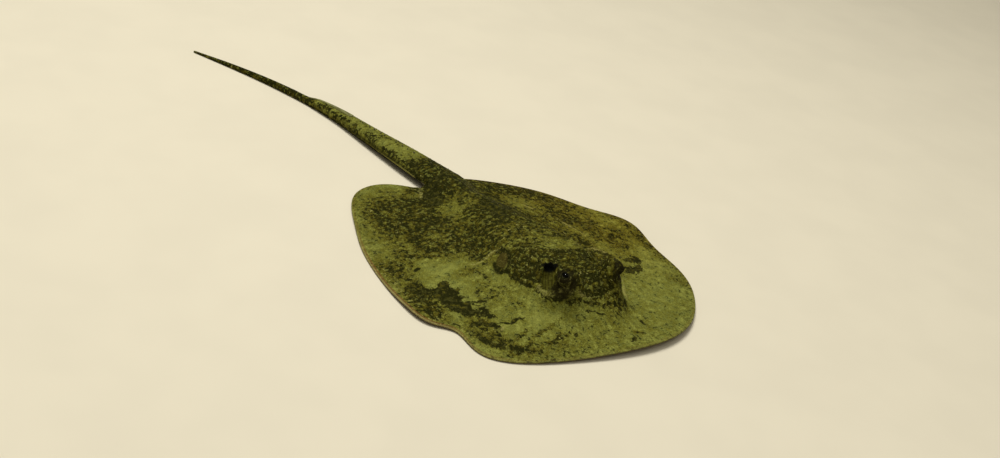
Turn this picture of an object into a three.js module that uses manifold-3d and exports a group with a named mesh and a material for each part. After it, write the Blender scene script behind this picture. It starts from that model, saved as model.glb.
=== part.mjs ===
// Freshwater stingray at rest on the floor, life size, in millimetres.
// The snout points to -Y, the tail to +Y and the animal's left to +X. The floor is z = 0.
// The whole body is made once, as a disc joined to a tail, and then parted into named pieces.
import * as THREE from 'three';
import { mergeVertices } from 'three/addons/utils/BufferGeometryUtils.js';
import Module from 'manifold-3d';

const wasm = await Module();
wasm.setup();

// ---- driving dimensions ----
const gap = 0.3; // clearance between neighbouring pieces
const degree = Math.PI / 180;

// The disc outline is a round with a slight oval and lean, and its fins lie in a few wide folds.
// Angles run from the snout, positive toward the animal's left.
const disc = { radius: 98.6, oval: 0.0226, lean: -0.0453 };
const marginFolds = [
  { at: -150, spread: 17.5, out: 13.9 }, // right rear lobe
  { at: -99, spread: 18.5, out: -2.5 }, // straighter right margin
  { at: -59, spread: 7.6, out: -11.2 }, // notch in the right margin
  { at: -49.5, spread: 22, out: 11.4 }, // right front shoulder
  { at: 28, spread: 25, out: 11.7 }, // front margin
  { at: 61, spread: 22.5, out: 12 }, // left front shoulder
  { at: 96, spread: 13.4, out: 10 }, // ripple in the left margin
  { at: 152, spread: 16, out: -2 }, // flatter left rear margin
  { at: 187, spread: 8.5, out: -12.3 }, // where the disc meets the tail
];

// The fin is thickest at the middle of the disc and thins to its rim.
const finMiddle = 11.5;
const finRim = 1.1;
const finBulge = 1.7;
const finTaper = 1.15;

// The rim is lifted off the floor where the fin ripples.
const rimLifts = [
  { at: 14, spread: 34, up: 4.2 }, // front margin
  { at: -74, spread: 13, up: 1.8 }, // right margin, behind the notch
  { at: 96, spread: 15, up: 2.4 }, // left margin
  { at: 130, spread: 30, up: 0.3 }, // left rear margin
  { at: -140, spread: 18, up: 1 }, // right rear lobe
  { at: 180, spread: 34, up: 0.9 }, // over the pelvic fins
];
const liftStart = 0.7; // share of the radius where the lift begins
const liftEnd = 1.04;

// Head and back stand above the fins: place along Y, half width of the foot, rise, and the share of the
// half width out to which the back is level.
const backStations = [
  [-94, 14, 0, 0.3],
  [-84, 19, 1.6, 0.32],
  [-74, 24, 5.6, 0.34],
  [-65, 28, 10.6, 0.34],
  [-56, 30.5, 14, 0.34],
  [-42, 33, 14.4, 0.42],
  [-22, 34.5, 12.2, 0.5],
  [2, 32, 9.6, 0.38],
  [32, 26, 7.6, 0.12],
  [62, 19, 7.8, 0.06],
  [80, 15, 9.6, 0.1],
  [108, 12, 10, 0.3],
];
const shoulderOut = 1.12; // the back meets the fin here, as a share of its half width
const rimFade = 0.93; // share of the radius where head and back start to fade into the rim

// Eyes, each in a bulge of the head, with the spiracle behind and below it.
const eye = { x: 19.8, y: -58.2, z: 26.8, radius: 4.5, sides: 16, rings: 11, lean: 12 };
const eyeBulge = { x: 17.6, y: -58.4, spread: 8.2, rise: 13.4, fullness: 3 };
const spiracle = { x: 19.5, y: -45.7, z: 19.6, length: 19, width: 10, depth: 8, sides: 14, rings: 9 };
const spiracleSlant = 27; // the hollow's fall toward the fin, in degrees
const spiracleTurn = 57; // and its turn from straight across the body

// Tail: place along Y, sideways place, half width, height.
const tailStations = [
  [58, 1, 13, 10],
  [84, 2.2, 15, 12],
  [100, -0.6, 12.4, 12.4],
  [127, -5.4, 10.7, 11.8],
  [160, -11.4, 8.1, 10.4],
  [190, -16.4, 6, 9],
  [215, -22.6, 4.2, 7.2],
  [226, -26.2, 3.2, 5.2],
  [241, -31.8, 2.5, 5.2],
  [264, -41, 2, 4.6],
  [292, -54, 1.4, 3.4],
  [323, -70, 0.6, 1.5],
];
const tailRings = 46;
const tailSides = 14;
const tailMiddle = 0.4; // share of the height where the tail is widest
const tailTread = { width: 1.25, corner: 1.6 }; // the tail's underside is flat, with rounded corners
const tailPoint = { ahead: 1, aside: 0.4 }; // the last point, beyond the last ring
const keel = { out: 1.9, start: 84, full: 96, end: 205, sharpness: 9 }; // skin fold along each side

// Sting, on top of the tail: place along Y of its root and tip, width, thickness, how deep it is set.
const sting = { root: 184, tip: 227, halfWidth: 1.7, thickness: 2.2, sink: 0.9, rings: 9, rise: 0.9 };
const stingSection = { base: 0.6, flank: 0.45 }; // width of its base, and height of its edges
const stingPoint = { ahead: 1, root: 0.6, tip: 0.3 }; // how its two ends close

// Pelvic fins: thin lobes on the floor under the rear of the disc. Round: shares of reach and length.
const pelvic = { x: 8.5, y: 70, length: 27, reach: 30, thickness: 0.9, rear: 13, curve: 9 };
const pelvicRound = { front: 0.75, rear: 0.4, root: 0.72, inner: 2 };

// Cuts between the named pieces: half width of the strip that holds snout, head and trunk.
const stripStations = [
  [-130, 48],
  [-72, 29],
  [-42, 35],
  [-8, 36.5],
  [30, 30],
  [70, 20.5],
  [92, 17],
  [104, 17],
  [120, 18],
];
const cuts = { snout: -71, head: -14, trunk: 99, tailBase: 150, tailMiddle: 182, tailEnd: 228 };
const stripStep = 7;
const stripEnd = 112; // behind the disc's rearmost point
const farOut = 130; // beyond the body on every side
const blocks = { below: 5, height: 60 }; // the cutting blocks reach past the body

// Mesh density of the disc: spokes stand closer together across the head.
const spokeStep = { head: 2.5, fin: 4.6, headEdge: 35 };
const topRings = [0.1, 0.2, 0.29, 0.36, 0.42, 0.47, 0.51, 0.55, 0.59, 0.63, 0.68, 0.74, 0.81, 0.88, 0.94, 1];
const underRings = [0.7, 0.86, 1];

// ---- small helpers ----
const smooth = (low, high, value) => THREE.MathUtils.smoothstep(value, low, high);
const bell = (offset, spread) => Math.exp(-((offset / spread) ** 2));

// Difference of two angles in degrees, from -180 to 180.
function turnBetween(angle, other) {
  return THREE.MathUtils.euclideanModulo(angle - other + 180, 360) - 180;
}

// Smooth curve through stations [place, value, value...]; returns the values at one place.
function along(stations, place) {
  const last = stations.length - 1;
  const s = THREE.MathUtils.clamp(place, stations[0][0], stations[last][0]);
  let i = 0;
  while (i < last - 1 && s > stations[i + 1][0]) i += 1;
  const slope = (k, column) => {
    const before = stations[Math.max(k - 1, 0)];
    const after = stations[Math.min(k + 1, last)];
    return (after[column] - before[column]) / (after[0] - before[0]);
  };
  const start = stations[i];
  const end = stations[i + 1];
  const span = end[0] - start[0];
  const t = (s - start[0]) / span;
  const startWeight = 1 - t * t * (3 - 2 * t);
  const startLean = t * (1 - t) * (1 - t) * span;
  const endLean = t * t * (t - 1) * span;
  return start.slice(1).map((value, k) => {
    const level = value * startWeight + end[k + 1] * (1 - startWeight);
    return level + slope(i, k + 1) * startLean + slope(i + 1, k + 1) * endLean;
  });
}

// ---- the disc ----
function discEdge(angle) {
  const a = angle * degree;
  const round = disc.radius * (1 + disc.oval * Math.cos(2 * a) + disc.lean * Math.sin(a));
  return marginFolds.reduce((sum, f) => sum + f.out * bell(turnBetween(angle, f.at), f.spread), round);
}

function rimLift(angle) {
  return rimLifts.reduce((sum, f) => sum + f.up * bell(turnBetween(angle, f.at), f.spread), 0);
}

function polar(x, y) {
  const angle = Math.atan2(x, -y) / degree;
  return { angle, share: Math.hypot(x, y) / discEdge(angle) };
}

function underHeight(x, y) {
  const { angle, share } = polar(x, y);
  return rimLift(angle) * smooth(liftStart, liftEnd, share);
}

function backRise(x, y) {
  const [halfWidth, rise, level] = along(backStations, y);
  return rise * (1 - smooth(level, shoulderOut, Math.abs(x) / halfWidth));
}

function bulgeRise(x, y) {
  const away = Math.hypot(Math.abs(x) - eyeBulge.x, y - eyeBulge.y) / eyeBulge.spread;
  return eyeBulge.rise * Math.exp(-(away ** eyeBulge.fullness));
}

function topHeight(x, y) {
  const { share } = polar(x, y);
  const filled = Math.max(1 - Math.min(share, 1) ** finBulge, 0) ** finTaper;
  const fin = finRim + (finMiddle - finRim) * filled;
  const inner = 1 - smooth(rimFade, 1, share);
  return underHeight(x, y) + fin + (backRise(x, y) + bulgeRise(x, y)) * inner;
}

// ---- closed meshes from rings ----
// Rings of equal length are joined one to the next, and each end is closed by a point.
function closedRings(startPoint, rings, endPoint) {
  const count = rings[0].length;
  const points = [startPoint, ...rings.flat(), endPoint];
  const index = [];
  const at = (ring, k) => 1 + ring * count + (k % count);
  for (let k = 0; k < count; k += 1) {
    index.push(0, at(0, k), at(0, k + 1));
    for (let ring = 0; ring < rings.length - 1; ring += 1) {
      index.push(at(ring, k), at(ring + 1, k), at(ring + 1, k + 1));
      index.push(at(ring, k), at(ring + 1, k + 1), at(ring, k + 1));
    }
    index.push(points.length - 1, at(rings.length - 1, k + 1), at(rings.length - 1, k));
  }
  const geometry = new THREE.BufferGeometry();
  geometry.setAttribute('position', new THREE.Float32BufferAttribute(points.flat(), 3));
  geometry.setIndex(index);
  return geometry;
}

function spread(from, to, step) {
  const count = Math.round((to - from) / step);
  return Array.from({ length: count }, (_, k) => from + ((to - from) * k) / count);
}

const spokes = [
  ...spread(-spokeStep.headEdge, spokeStep.headEdge, spokeStep.head),
  ...spread(spokeStep.headEdge, 360 - spokeStep.headEdge, spokeStep.fin),
];

// A ring of the disc at one share of its radius, on its top or underside.
function discRing(share, height) {
  return spokes.map((angle) => {
    const reach = discEdge(angle) * share;
    const x = reach * Math.sin(angle * degree);
    const y = -reach * Math.cos(angle * degree);
    return [x, y, height(x, y)];
  });
}

function discGeometry() {
  const top = topRings.map((share) => discRing(share, topHeight));
  const under = underRings.map((share) => discRing(share, underHeight)).reverse();
  return closedRings([0, 0, topHeight(0, 0)], [...top, ...under], [0, 0, 0]);
}

// Height of the tail's surface in one direction round its section.
function tailLift(height, direction) {
  if (direction > 0) return height * (tailMiddle + (1 - tailMiddle) * direction);
  const down = Math.min(1, -direction * tailTread.width);
  return height * tailMiddle * (1 - down ** tailTread.corner);
}

// One ring of the tail: an oval with a flat tread, and a fold of skin out at each side.
function tailRing(place) {
  const [x, halfWidth, height] = along(tailStations, place);
  const [ahead] = along(tailStations, place + 1);
  const heading = new THREE.Vector2(ahead - x, 1).normalize();
  const begun = smooth(keel.start, keel.full, place);
  const left = 1 - smooth(keel.full, keel.end, place);
  return Array.from({ length: tailSides }, (_, k) => {
    const a = (2 * Math.PI * k) / tailSides;
    const across = Math.cos(a);
    const fold = keel.out * begun * left * Math.abs(across) ** keel.sharpness;
    const out = halfWidth * across + fold * Math.sign(across);
    return [x + out * heading.y, place - out * heading.x, tailLift(height, Math.sin(a))];
  });
}

function tailGeometry() {
  const first = tailStations[0][0];
  const last = tailStations[tailStations.length - 1][0];
  const step = (last - first) / (tailRings - 1);
  const rings = Array.from({ length: tailRings }, (_, k) => tailRing(first + step * k));
  const [startX, , startHeight] = along(tailStations, first);
  const [endX, , endHeight] = along(tailStations, last);
  return closedRings(
    [startX, first, startHeight * tailMiddle],
    rings,
    [endX - tailPoint.aside, last + tailPoint.ahead, endHeight * tailMiddle],
  );
}

// The sting is a flat blade with a keeled back, pointed at its rear end.
function stingGeometry(grow) {
  const rings = Array.from({ length: sting.rings }, (_, k) => {
    const share = k / sting.rings;
    const place = sting.root + (sting.tip - sting.root) * share;
    const [x, , height] = along(tailStations, place);
    const taper = Math.sqrt(1 - share);
    const half = sting.halfWidth * taper + grow;
    const base = height - sting.sink + sting.rise * share - grow;
    const top = base + sting.thickness * taper + 2 * grow;
    const flank = base + (top - base) * stingSection.flank;
    return [
      [x + half * stingSection.base, place, base],
      [x + half, place, flank],
      [x, place, top],
      [x - half, place, flank],
      [x - half * stingSection.base, place, base],
    ];
  });
  const [rootX, , rootHeight] = along(tailStations, sting.root);
  const [tipX, , tipHeight] = along(tailStations, sting.tip);
  const rootLevel = rootHeight - sting.sink + stingPoint.root;
  const tipLevel = tipHeight - sting.sink + sting.rise + stingPoint.tip;
  const rootPoint = [rootX, sting.root - stingPoint.ahead - grow, rootLevel];
  return closedRings(rootPoint, rings, [tipX, sting.tip + grow, tipLevel]);
}

// A pelvic fin in plan: a fan from its root beside the vent to a rounded rear edge.
function pelvicGeometry(side, grow) {
  const { x, y, length, reach, rear, thickness } = pelvic;
  const end = y + length + grow;
  const plan = new THREE.Shape();
  const curveTo = (bendX, bendY, toX, toY) => plan.quadraticCurveTo(side * bendX, bendY, side * toX, toY);
  plan.moveTo(side * (x - grow), y - grow);
  curveTo(x + reach * pelvicRound.front, y, x + reach + grow, y + rear);
  curveTo(x + reach, end, x + reach * pelvicRound.rear, end);
  curveTo(x + pelvicRound.inner, end, x - grow, y + length * pelvicRound.root);
  plan.closePath();
  const depth = thickness + grow;
  return new THREE.ExtrudeGeometry(plan, { depth, bevelEnabled: false, curveSegments: pelvic.curve });
}

// ---- solids ----
function solid(geometry) {
  const plain = geometry.clone();
  plain.deleteAttribute('normal');
  plain.deleteAttribute('uv');
  const merged = mergeVertices(plain, 1e-4);
  return new wasm.Manifold(new wasm.Mesh({
    numProp: 3,
    vertProperties: new Float32Array(merged.attributes.position.array),
    triVerts: new Uint32Array(merged.index.array),
  }));
}

// An upright block over a plan outline, used to take one region out of the body.
function block(outline) {
  const plan = new THREE.Shape(outline.map(([x, y]) => new THREE.Vector2(x, y)));
  const geometry = new THREE.ExtrudeGeometry(plan, { depth: blocks.height, bevelEnabled: false });
  geometry.translate(0, 0, -blocks.below);
  return solid(geometry);
}

// The strip's edge is straight between places a fixed step apart, so both sides of a cut match.
function stripHalf(place) {
  const low = Math.floor(place / stripStep) * stripStep;
  const [near] = along(stripStations, low);
  const [far] = along(stripStations, low + stripStep);
  return THREE.MathUtils.lerp(near, far, (place - low) / stripStep);
}

function stripPlaces(from, to) {
  const first = Math.floor(from / stripStep) + 1;
  const last = Math.ceil(to / stripStep) - 1;
  const between = Array.from({ length: last - first + 1 }, (_, k) => (first + k) * stripStep);
  return [from, ...between, to];
}

// The part of the middle strip between two places along Y.
function stripBlock(from, to) {
  const inset = gap / 2;
  const places = stripPlaces(from + inset, to - inset);
  const right = places.map((y) => [inset - stripHalf(y), y]);
  const left = places.map((y) => [stripHalf(y) - inset, y]).reverse();
  return block([...right, ...left]);
}

// Everything outside the middle strip on one side.
function sideBlock(side) {
  const places = stripPlaces(-farOut, stripEnd);
  const inner = places.map((y) => [side * (stripHalf(y) + gap / 2), y]);
  return block([...inner, [side * farOut, stripEnd], [side * farOut, -farOut]]);
}

// A length of the tail, full width behind the disc.
function tailBlock(from, to) {
  const low = from + gap / 2;
  const high = to - gap / 2;
  return block([[-farOut, low], [farOut, low], [farOut, high], [-farOut, high]]);
}

function eyeGeometry(side, grow) {
  const ball = new THREE.SphereGeometry(eye.radius + grow, eye.sides, eye.rings);
  ball.rotateZ(side * eye.lean * degree);
  return ball.translate(side * eye.x, eye.y, eye.z);
}

// The hollow of a spiracle runs forward and down round the back of the eye bulge.
function spiracleGeometry(side) {
  const hollow = new THREE.SphereGeometry(1, spiracle.sides, spiracle.rings);
  hollow.scale(spiracle.length / 2, spiracle.width / 2, spiracle.depth / 2);
  hollow.rotateY(side * spiracleSlant * degree);
  hollow.rotateZ(-side * spiracleTurn * degree);
  return hollow.translate(side * spiracle.x, spiracle.y, spiracle.z);
}

// ---- assembly ----
const looks = {
  skin: { color: 0x6b6a45, roughness: 0.55, metalness: 0 },
  darkSkin: { color: 0x4a4a30, roughness: 0.55, metalness: 0 },
  bone: { color: 0xb9b08c, roughness: 0.45, metalness: 0 },
  eye: { color: 0x15140e, roughness: 0.12, metalness: 0 },
};
const group = new THREE.Group();

function addPiece(name, shape, look) {
  const mesh = shape.getMesh();
  const geometry = new THREE.BufferGeometry();
  geometry.setAttribute('position', new THREE.BufferAttribute(mesh.vertProperties, 3));
  geometry.setIndex(new THREE.BufferAttribute(mesh.triVerts, 1));
  const piece = new THREE.Mesh(geometry, new THREE.MeshStandardMaterial(look));
  piece.name = name;
  group.add(piece);
}

const sides = { left: 1, right: -1 };
let body = solid(discGeometry()).add(solid(tailGeometry()));
body = body.subtract(solid(stingGeometry(gap)));
for (const side of Object.values(sides)) {
  body = body.subtract(solid(eyeGeometry(side, gap)));
  body = body.subtract(solid(spiracleGeometry(side)));
  body = body.subtract(solid(pelvicGeometry(side, gap)));
}

addPiece('snout', body.intersect(stripBlock(-farOut, cuts.snout)), looks.skin);
addPiece('head', body.intersect(stripBlock(cuts.snout, cuts.head)), looks.darkSkin);
addPiece('trunk', body.intersect(stripBlock(cuts.head, cuts.trunk)), looks.skin);

const tailRoot = stripBlock(cuts.trunk, stripEnd).add(tailBlock(stripEnd - gap, cuts.tailBase));
addPiece('tail_base', body.intersect(tailRoot), looks.darkSkin);
addPiece('tail_middle', body.intersect(tailBlock(cuts.tailBase, cuts.tailMiddle)), looks.skin);
addPiece('tail_rear', body.intersect(tailBlock(cuts.tailMiddle, cuts.tailEnd)), looks.skin);
addPiece('tail_tip', body.intersect(tailBlock(cuts.tailEnd, 3 * farOut)), looks.darkSkin);

addPiece('tail_sting', solid(stingGeometry(0)), looks.bone);

for (const [name, side] of Object.entries(sides)) {
  addPiece(`pectoral_fin_${name}`, body.intersect(sideBlock(side)), looks.skin);
  addPiece(`pelvic_fin_${name}`, solid(pelvicGeometry(side, 0)), looks.skin);
  addPiece(`eye_${name}`, solid(eyeGeometry(side, 0)), looks.eye);
}

export default group;
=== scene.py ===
from itertools import product
import bpy
import numpy as np
from mathutils import Matrix, Vector
from mathutils.kdtree import KDTree


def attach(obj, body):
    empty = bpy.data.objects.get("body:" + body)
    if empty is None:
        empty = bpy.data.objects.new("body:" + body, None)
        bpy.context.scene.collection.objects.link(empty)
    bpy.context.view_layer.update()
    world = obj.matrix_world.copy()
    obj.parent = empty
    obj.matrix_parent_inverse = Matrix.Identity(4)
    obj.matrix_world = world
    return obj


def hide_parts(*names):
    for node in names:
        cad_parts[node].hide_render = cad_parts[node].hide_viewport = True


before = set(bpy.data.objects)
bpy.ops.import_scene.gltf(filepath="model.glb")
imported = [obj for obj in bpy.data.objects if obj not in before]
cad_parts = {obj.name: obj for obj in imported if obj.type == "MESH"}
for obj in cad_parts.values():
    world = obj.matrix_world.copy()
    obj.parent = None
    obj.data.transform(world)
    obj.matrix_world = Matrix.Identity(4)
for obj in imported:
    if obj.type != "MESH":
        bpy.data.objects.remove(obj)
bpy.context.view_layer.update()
toMetres = 0.001  # shapes below are written in millimetres, snout to -Y, floor at 0
print("frame loaded,", len(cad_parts), "solids")

# The disc: round margin with folds (at, spread, out), rim lifts (at, spread, up) and
# the back as (y, half width, rise, level share).
disc = {
    "radius": 98.6,
    "oval": 0.0226,
    "lean": -0.0453,
    "folds": [
        (-150, 17.5, 13.9), (-99, 18.5, -2.5), (-59, 7.6, -11.2), (-49.5, 22, 11.4),
        (28, 25, 11.7), (61, 22.5, 12), (96, 13.4, 10), (152, 16, -2), (187, 8.5, -12.3),
    ],
    "lifts": [
        (14, 34, 4.2), (-74, 13, 1.8), (96, 15, 2.4),
        (130, 30, 0.3), (-140, 18, 1), (180, 34, 0.9),
    ],
    "liftFrom": 0.7,
    "liftTo": 1.04,
    "finMiddle": 11.5,
    "finRim": 1.1,
    "finBulge": 1.7,
    "finTaper": 1.15,
    "back": [
        (-94, 14, 0, 0.3), (-84, 19, 1.6, 0.32), (-74, 24, 5.6, 0.34), (-65, 28, 10.6, 0.34),
        (-56, 30.5, 14, 0.34), (-42, 33, 14.4, 0.42), (-22, 34.5, 12.2, 0.5), (2, 32, 9.6, 0.38),
        (32, 26, 7.6, 0.12), (62, 19, 7.8, 0.06), (80, 15, 9.6, 0.1), (108, 12, 10, 0.3),
    ],
    "shoulder": 1.12,
    "rimFade": 0.93,
    "hub": (0, -48),  # spokes of the mesh leave from between the eyes
    "spokes": 400,
    "marginPoints": 2880,
    "topSteps": [(0, 0.0042), (0.33, 0.0042), (0.6, 0.011), (1, 0.0105)],
    "underSteps": [(0, 0.012), (0.45, 0.012), (0.7, 0.04), (1, 0.04)],
    "rimRound": 0.8,
    "rimRings": 7,
}
eye = {"x": 19.8, "y": -58.2, "z": 26.8, "radius": 4.5}
bulge = {"x": 17.6, "y": -58.4, "spread": 8.2, "rise": 13.4, "fullness": 3}


def smoothStep(low, high, value):
    t = np.clip((value - low) / (high - low), 0, 1)
    return t * t * (3 - 2 * t)


def bell(offset, spread):
    return np.exp(-(offset / spread) ** 2)


def turnBetween(angle, other):
    return (angle - other + 180) % 360 - 180


def along(stations, place):  # smooth curve through rows of (place, value, value...)
    table = np.array(stations, float)
    at = table[:, 0]
    place = np.clip(place, at[0], at[-1])
    i = np.clip(np.searchsorted(at, place) - 1, 0, len(at) - 2)
    count = np.arange(len(at))
    before, after = np.maximum(count - 1, 0), np.minimum(count + 1, len(at) - 1)
    slopes = (table[after, 1:] - table[before, 1:]) / (at[after] - at[before])[:, None]
    span = (at[i + 1] - at[i])[..., None]
    t = (place - at[i])[..., None] / span
    near = 1 - t * t * (3 - 2 * t)
    value = table[i, 1:] * near + table[i + 1, 1:] * (1 - near)
    value = value + slopes[i] * t * (1 - t) ** 2 * span + slopes[i + 1] * t * t * (t - 1) * span
    return np.moveaxis(value, -1, 0)


def discEdge(angle):
    turn = np.radians(angle)
    edge = disc["radius"] * (1 + disc["oval"] * np.cos(2 * turn) + disc["lean"] * np.sin(turn))
    return edge + sum(out * bell(turnBetween(angle, at), spread) for at, spread, out in disc["folds"])


def polar(x, y):
    angle = np.degrees(np.arctan2(x, -y))
    return angle, np.hypot(x, y) / discEdge(angle)


def underHeight(x, y):
    angle, share = polar(x, y)
    lift = sum(up * bell(turnBetween(angle, at), spread) for at, spread, up in disc["lifts"])
    return lift * smoothStep(disc["liftFrom"], disc["liftTo"], share)


def topHeight(x, y):
    share = polar(x, y)[1]
    filled = np.clip(1 - np.minimum(share, 1) ** disc["finBulge"], 0, 1) ** disc["finTaper"]
    fin = disc["finRim"] + (disc["finMiddle"] - disc["finRim"]) * filled
    halfWidth, rise, level = along(disc["back"], y)
    back = rise * (1 - smoothStep(level, disc["shoulder"], np.abs(x) / halfWidth))
    away = np.hypot(np.abs(x) - bulge["x"], y - bulge["y"]) / bulge["spread"]
    knob = bulge["rise"] * np.exp(-away ** bulge["fullness"])
    return underHeight(x, y) + fin + (back + knob) * (1 - smoothStep(disc["rimFade"], 1, share))


# The tail: (y, x, half width, height), a flat tread and a fold of skin along each side.
tail = {
    "stations": [
        (58, 1, 13, 10), (84, 2.2, 15, 12), (100, -0.6, 12.4, 12.4), (127, -5.4, 10.7, 11.8),
        (160, -11.4, 8.1, 10.4), (190, -16.4, 6, 9), (215, -22.6, 4.2, 7.2), (226, -26.2, 3.2, 5.2),
        (241, -31.8, 2.5, 5.2), (264, -41, 2, 4.6), (292, -54, 1.4, 3.4), (323, -70, 0.6, 1.5),
    ],
    "rings": 210,
    "sides": 44,
    "widest": 0.4,
    "tread": (1.25, 1.6),
    "point": (-0.4, 1),
    "fold": {"out": 1.9, "start": 84, "full": 96, "end": 205, "sharpness": 9},
    "fall": 14,  # how steeply the fairing to the back drops beside the tail
    "seat": 0.5,  # how far the fairing lies under the tail's skin
    "blend": 2.4,  # roundness where the tail grows out of the back
    "swell": 0.6,
    "none": -20,  # a height well under the disc, where there is no fairing
}


def tailTop(x, y):  # height of the tail's back over the disc
    middle, halfWidth, height = along(tail["stations"], y)
    across = np.abs(x - middle) / halfWidth
    dome = np.sqrt(1 - np.minimum(across, 1) ** 2)
    crown = height * (tail["widest"] + (1 - tail["widest"]) * dome)
    return crown - tail["fall"] * np.maximum(across - 1, 0) - tail["seat"]


def tailHeading(place):
    ahead = along(tail["stations"], place + 1)[0] - along(tail["stations"], place)[0]
    return ahead / np.hypot(ahead, 1), 1 / np.hypot(ahead, 1)


def foldOut(place):  # how far the fold stands out of the tail's side
    fold = tail["fold"]
    grown = smoothStep(fold["start"], fold["full"], place)
    return fold["out"] * (grown * (1 - smoothStep(fold["full"], fold["end"], place)))


def tailRing(place):
    middle, halfWidth, height = along(tail["stations"], np.array(place))
    headingX, headingY = tailHeading(np.array(place))
    turn = np.linspace(0, 2 * np.pi, tail["sides"], endpoint=False)
    across, up = np.cos(turn), np.sin(turn)
    fold = foldOut(place) * np.abs(across) ** tail["fold"]["sharpness"]
    out = halfWidth * across + fold * np.sign(across)
    width, corner = tail["tread"]
    down = np.minimum(1, np.maximum(-up, 0) * width) ** corner
    raised = tail["widest"] + (1 - tail["widest"]) * up
    z = height * np.where(up > 0, raised, tail["widest"] * (1 - down))
    return np.stack([middle + out * headingY, place - out * headingX, z], 1)


# Repeatable noise: values on a lattice, and round bumps one to a cell.
def scatter(*cells, seed=0):
    mixed = np.full(np.shape(cells[0]), 1013904223 + seed * 374761393, np.uint64)
    for cell, prime in zip(cells, (73856093, 19349663, 83492791)):
        mixed ^= (np.asarray(cell).astype(np.int64).astype(np.uint64)) * np.uint64(prime)
        mixed = (mixed ^ (mixed >> np.uint64(13))) * np.uint64(1274126177)
        mixed ^= mixed >> np.uint64(16)
    return (mixed % np.uint64(65521)).astype(float) / 65521


def ripple(x, y, size, seed):  # smooth noise from -1 to 1
    gx, gy = x / size, y / size
    cx, cy = np.floor(gx), np.floor(gy)
    fx, fy = gx - cx, gy - cy
    fx, fy = fx ** 3 * (fx * (6 * fx - 15) + 10), fy ** 3 * (fy * (6 * fy - 15) + 10)
    total = 0
    for stepX, weightX in ((0, 1 - fx), (1, fx)):
        for stepY, weightY in ((0, 1 - fy), (1, fy)):
            total = total + weightX * weightY * scatter(cx + stepX, cy + stepY, seed=seed)
    return total * 2 - 1


def ripples(x, y, size, seed):  # two layers of it, the second one finer and lower
    return sum(ripple(x + 7.3 * k, y - 3.1 * k, size / 2 ** k, seed + k) * 0.55 ** k for k in (0, 1))


def bumps(x, y, z, size, seed, share=0.8):  # rounded tubercles of differing size, 0 to 1
    cells = [np.floor(value / size) for value in (x, y, z)]
    best = np.zeros(np.shape(x))
    for step in product((-1, 0, 1), repeat=3):
        cell = [corner + move for corner, move in zip(cells, step)]
        away = 0
        for k, value in enumerate((x, y, z)):
            away = away + (value - (cell[k] + 0.15 + 0.7 * scatter(*cell, seed=seed + k)) * size) ** 2
        reach = size * (0.35 + 0.45 * scatter(*cell, seed=seed + 3))
        there = scatter(*cell, seed=seed + 4) < share
        dome = np.clip(1 - away / reach ** 2, 0, 1) ** 1.3
        best = np.maximum(best, dome * there * reach / size * 1.5)
    return best


def outlineField(x, y, outline):  # how far inside an outline a point is, negative outside
    best = np.full(np.shape(x), 1e9)
    inside = np.zeros(np.shape(x), bool)
    for (ax, ay), (bx, by) in zip(outline, outline[1:] + outline[:1]):
        ux, uy = bx - ax, by - ay
        t = np.clip(((x - ax) * ux + (y - ay) * uy) / (ux * ux + uy * uy), 0, 1)
        best = np.minimum(best, np.hypot(x - ax - t * ux, y - ay - t * uy))
        if uy:
            inside ^= ((ay > y) != (by > y)) & (x < ux * (y - ay) / uy + ax)
    return np.where(inside, best, -best)


def strokeField(x, y, stroke):  # the same for a line of (x, y, half width)
    best = np.full(np.shape(x), -1e9)
    for (ax, ay, aw), (bx, by, bw) in zip(stroke, stroke[1:]):
        ux, uy = bx - ax, by - ay
        t = np.clip(((x - ax) * ux + (y - ay) * uy) / (ux * ux + uy * uy), 0, 1)
        best = np.maximum(best, aw + t * (bw - aw) - np.hypot(x - ax - t * ux, y - ay - t * uy))
    return best


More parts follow.
